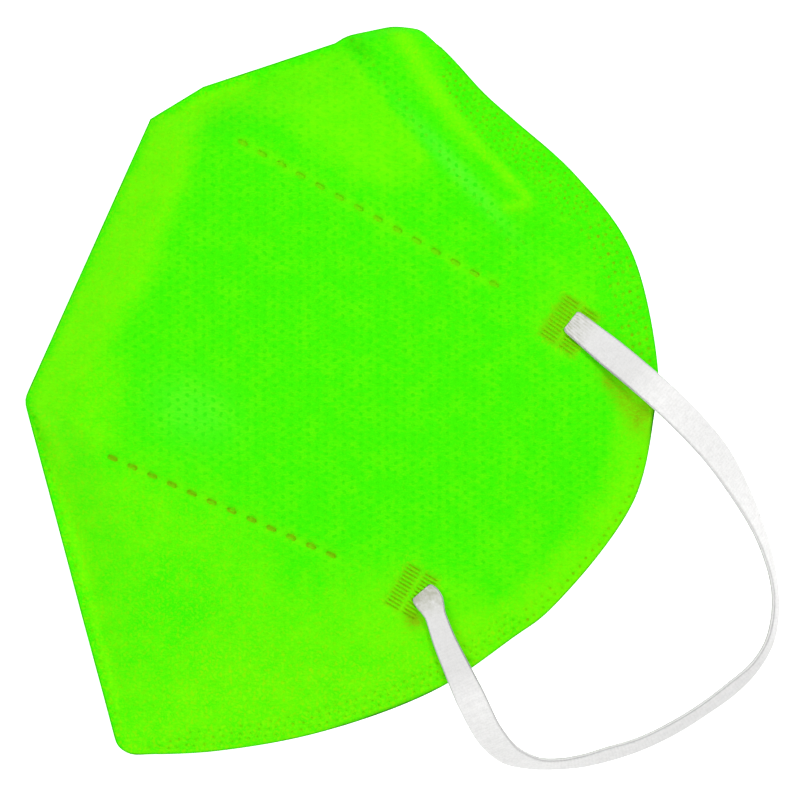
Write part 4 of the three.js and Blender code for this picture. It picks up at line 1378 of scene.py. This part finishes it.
class MASK_OT_lay_stage(bpy.types.Operator):
    """Make the floor, the soft lights and the camera"""

    bl_idname = "mask.lay_stage"
    bl_label = "Lay the Stage"

    def execute(self, context):
        settings = context.scene.mask_stage
        turn = math.radians(VIEW_TURN)
        middle = Vector((np.array([*VIEW_MIDDLE, VIEW_HEIGHT - REST_DEPTH]) + FOLD_FOOT) * MM)
        lens = bpy.data.cameras.new("camera")
        lens.lens = settings.lens
        lens.clip_end = VIEW_REACH
        camera = new_object("camera", lens)
        distance = VIEW_WIDTH * MM * settings.lens / lens.sensor_width
        camera.location = middle + Vector((0, 0, distance))
        camera.rotation_euler = (0, 0, turn)
        context.scene.camera = camera

        side = settings.floor_size / 2
        corners = [(-side, -side, 0), (side, -side, 0), (side, side, 0), (-side, side, 0)]
        paper = bpy.data.meshes.new("floor")
        paper.from_pydata(corners, [], [(0, 1, 2, 3)])
        paper.materials.append(floor_material(settings))
        floor = new_object("floor", paper)
        floor.location.z = -FLOOR_SINK

        for name, (place, size, colour) in LAMPS.items():
            turned = Matrix.Rotation(turn, 3, "Z") @ Vector(place)
            add_lamp(name, middle + turned, middle, size, getattr(settings, name), colour)
        world = bpy.data.worlds.new("studio")
        world.use_nodes = True
        backdrop = world.node_tree.nodes["Background"]
        set_inputs(world.node_tree, backdrop, {"Color": WHITE, "Strength": settings.fill})
        context.scene.world = world
        context.scene.view_settings.view_transform = "Standard"
        return {"FINISHED"}


class MASK_OT_make_ear_loops(bpy.types.Operator):
    """Make both loops of flat elastic"""

    bl_idname = "mask.make_ear_loops"
    bl_label = "Make the Ear Loops"

    def execute(self, context):
        settings = context.scene.mask_ear_loops
        crease = context.scene.mask_cloth.crease / MM
        material = elastic_material(settings)
        for node, rows, half in (("ear_loop_left", LEFT_LOOP, 1), ("ear_loop_right", RIGHT_LOOP, -1)):
            loop, path = make_tape(node.replace("loop", "elastic"), rows, half, settings, crease, material)
            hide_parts(node)
            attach(loop, "root")
        return {"FINISHED"}


class MASK_OT_make_cloth(bpy.types.Operator):
    """Make the folded cloth with its welds and lining"""

    bl_idname = "mask.make_cloth"
    bl_label = "Make the Cloth"

    def execute(self, context):
        cloth, area = make_cloth(context.scene.mask_cloth)
        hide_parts("mask_body")
        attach(cloth, "root")
        return {"FINISHED"}


class MASK_OT_finish_nose_wire(bpy.types.Operator):
    """Give the nose wire its metal"""

    bl_idname = "mask.finish_nose_wire"
    bl_label = "Finish the Nose Wire"

    def execute(self, context):
        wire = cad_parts["nose_wire"]
        wire.data.materials.clear()
        wire.data.materials.append(wire_material())
        return {"FINISHED"}


OPERATORS = (MASK_OT_lay_stage, MASK_OT_make_ear_loops, MASK_OT_make_cloth, MASK_OT_finish_nose_wire)
SETTINGS = {"mask_cloth": ClothSettings, "mask_ear_loops": EarLoopSettings, "mask_stage": StageSettings}


class MASK_PT_sidebar(bpy.types.Panel):
    """Sizes and colours of the mask, and the steps that make it"""

    bl_idname = "MASK_PT_sidebar"
    bl_label = "Respirator Mask"
    bl_space_type = "VIEW_3D"
    bl_region_type = "UI"
    bl_category = "Mask"

    def draw(self, context):
        for name, group in SETTINGS.items():
            box = self.layout.box()
            for setting in group.__annotations__:
                box.prop(getattr(context.scene, name), setting)
        for operator in OPERATORS:
            self.layout.operator(operator.bl_idname)


CLASSES = (*SETTINGS.values(), *OPERATORS, MASK_PT_sidebar)


def register():
    for made in CLASSES:
        bpy.utils.register_class(made)
    for name, group in SETTINGS.items():
        setattr(bpy.types.Scene, name, PointerProperty(type=group))


def unregister():
    for name in SETTINGS:
        delattr(bpy.types.Scene, name)
    for made in reversed(CLASSES):
        bpy.utils.unregister_class(made)


def main():
    register()
    bpy.ops.mask.lay_stage()
    bpy.ops.mask.make_ear_loops()
    bpy.ops.mask.make_cloth()
    bpy.ops.mask.finish_nose_wire()


if __name__ == "__main__":
    main()
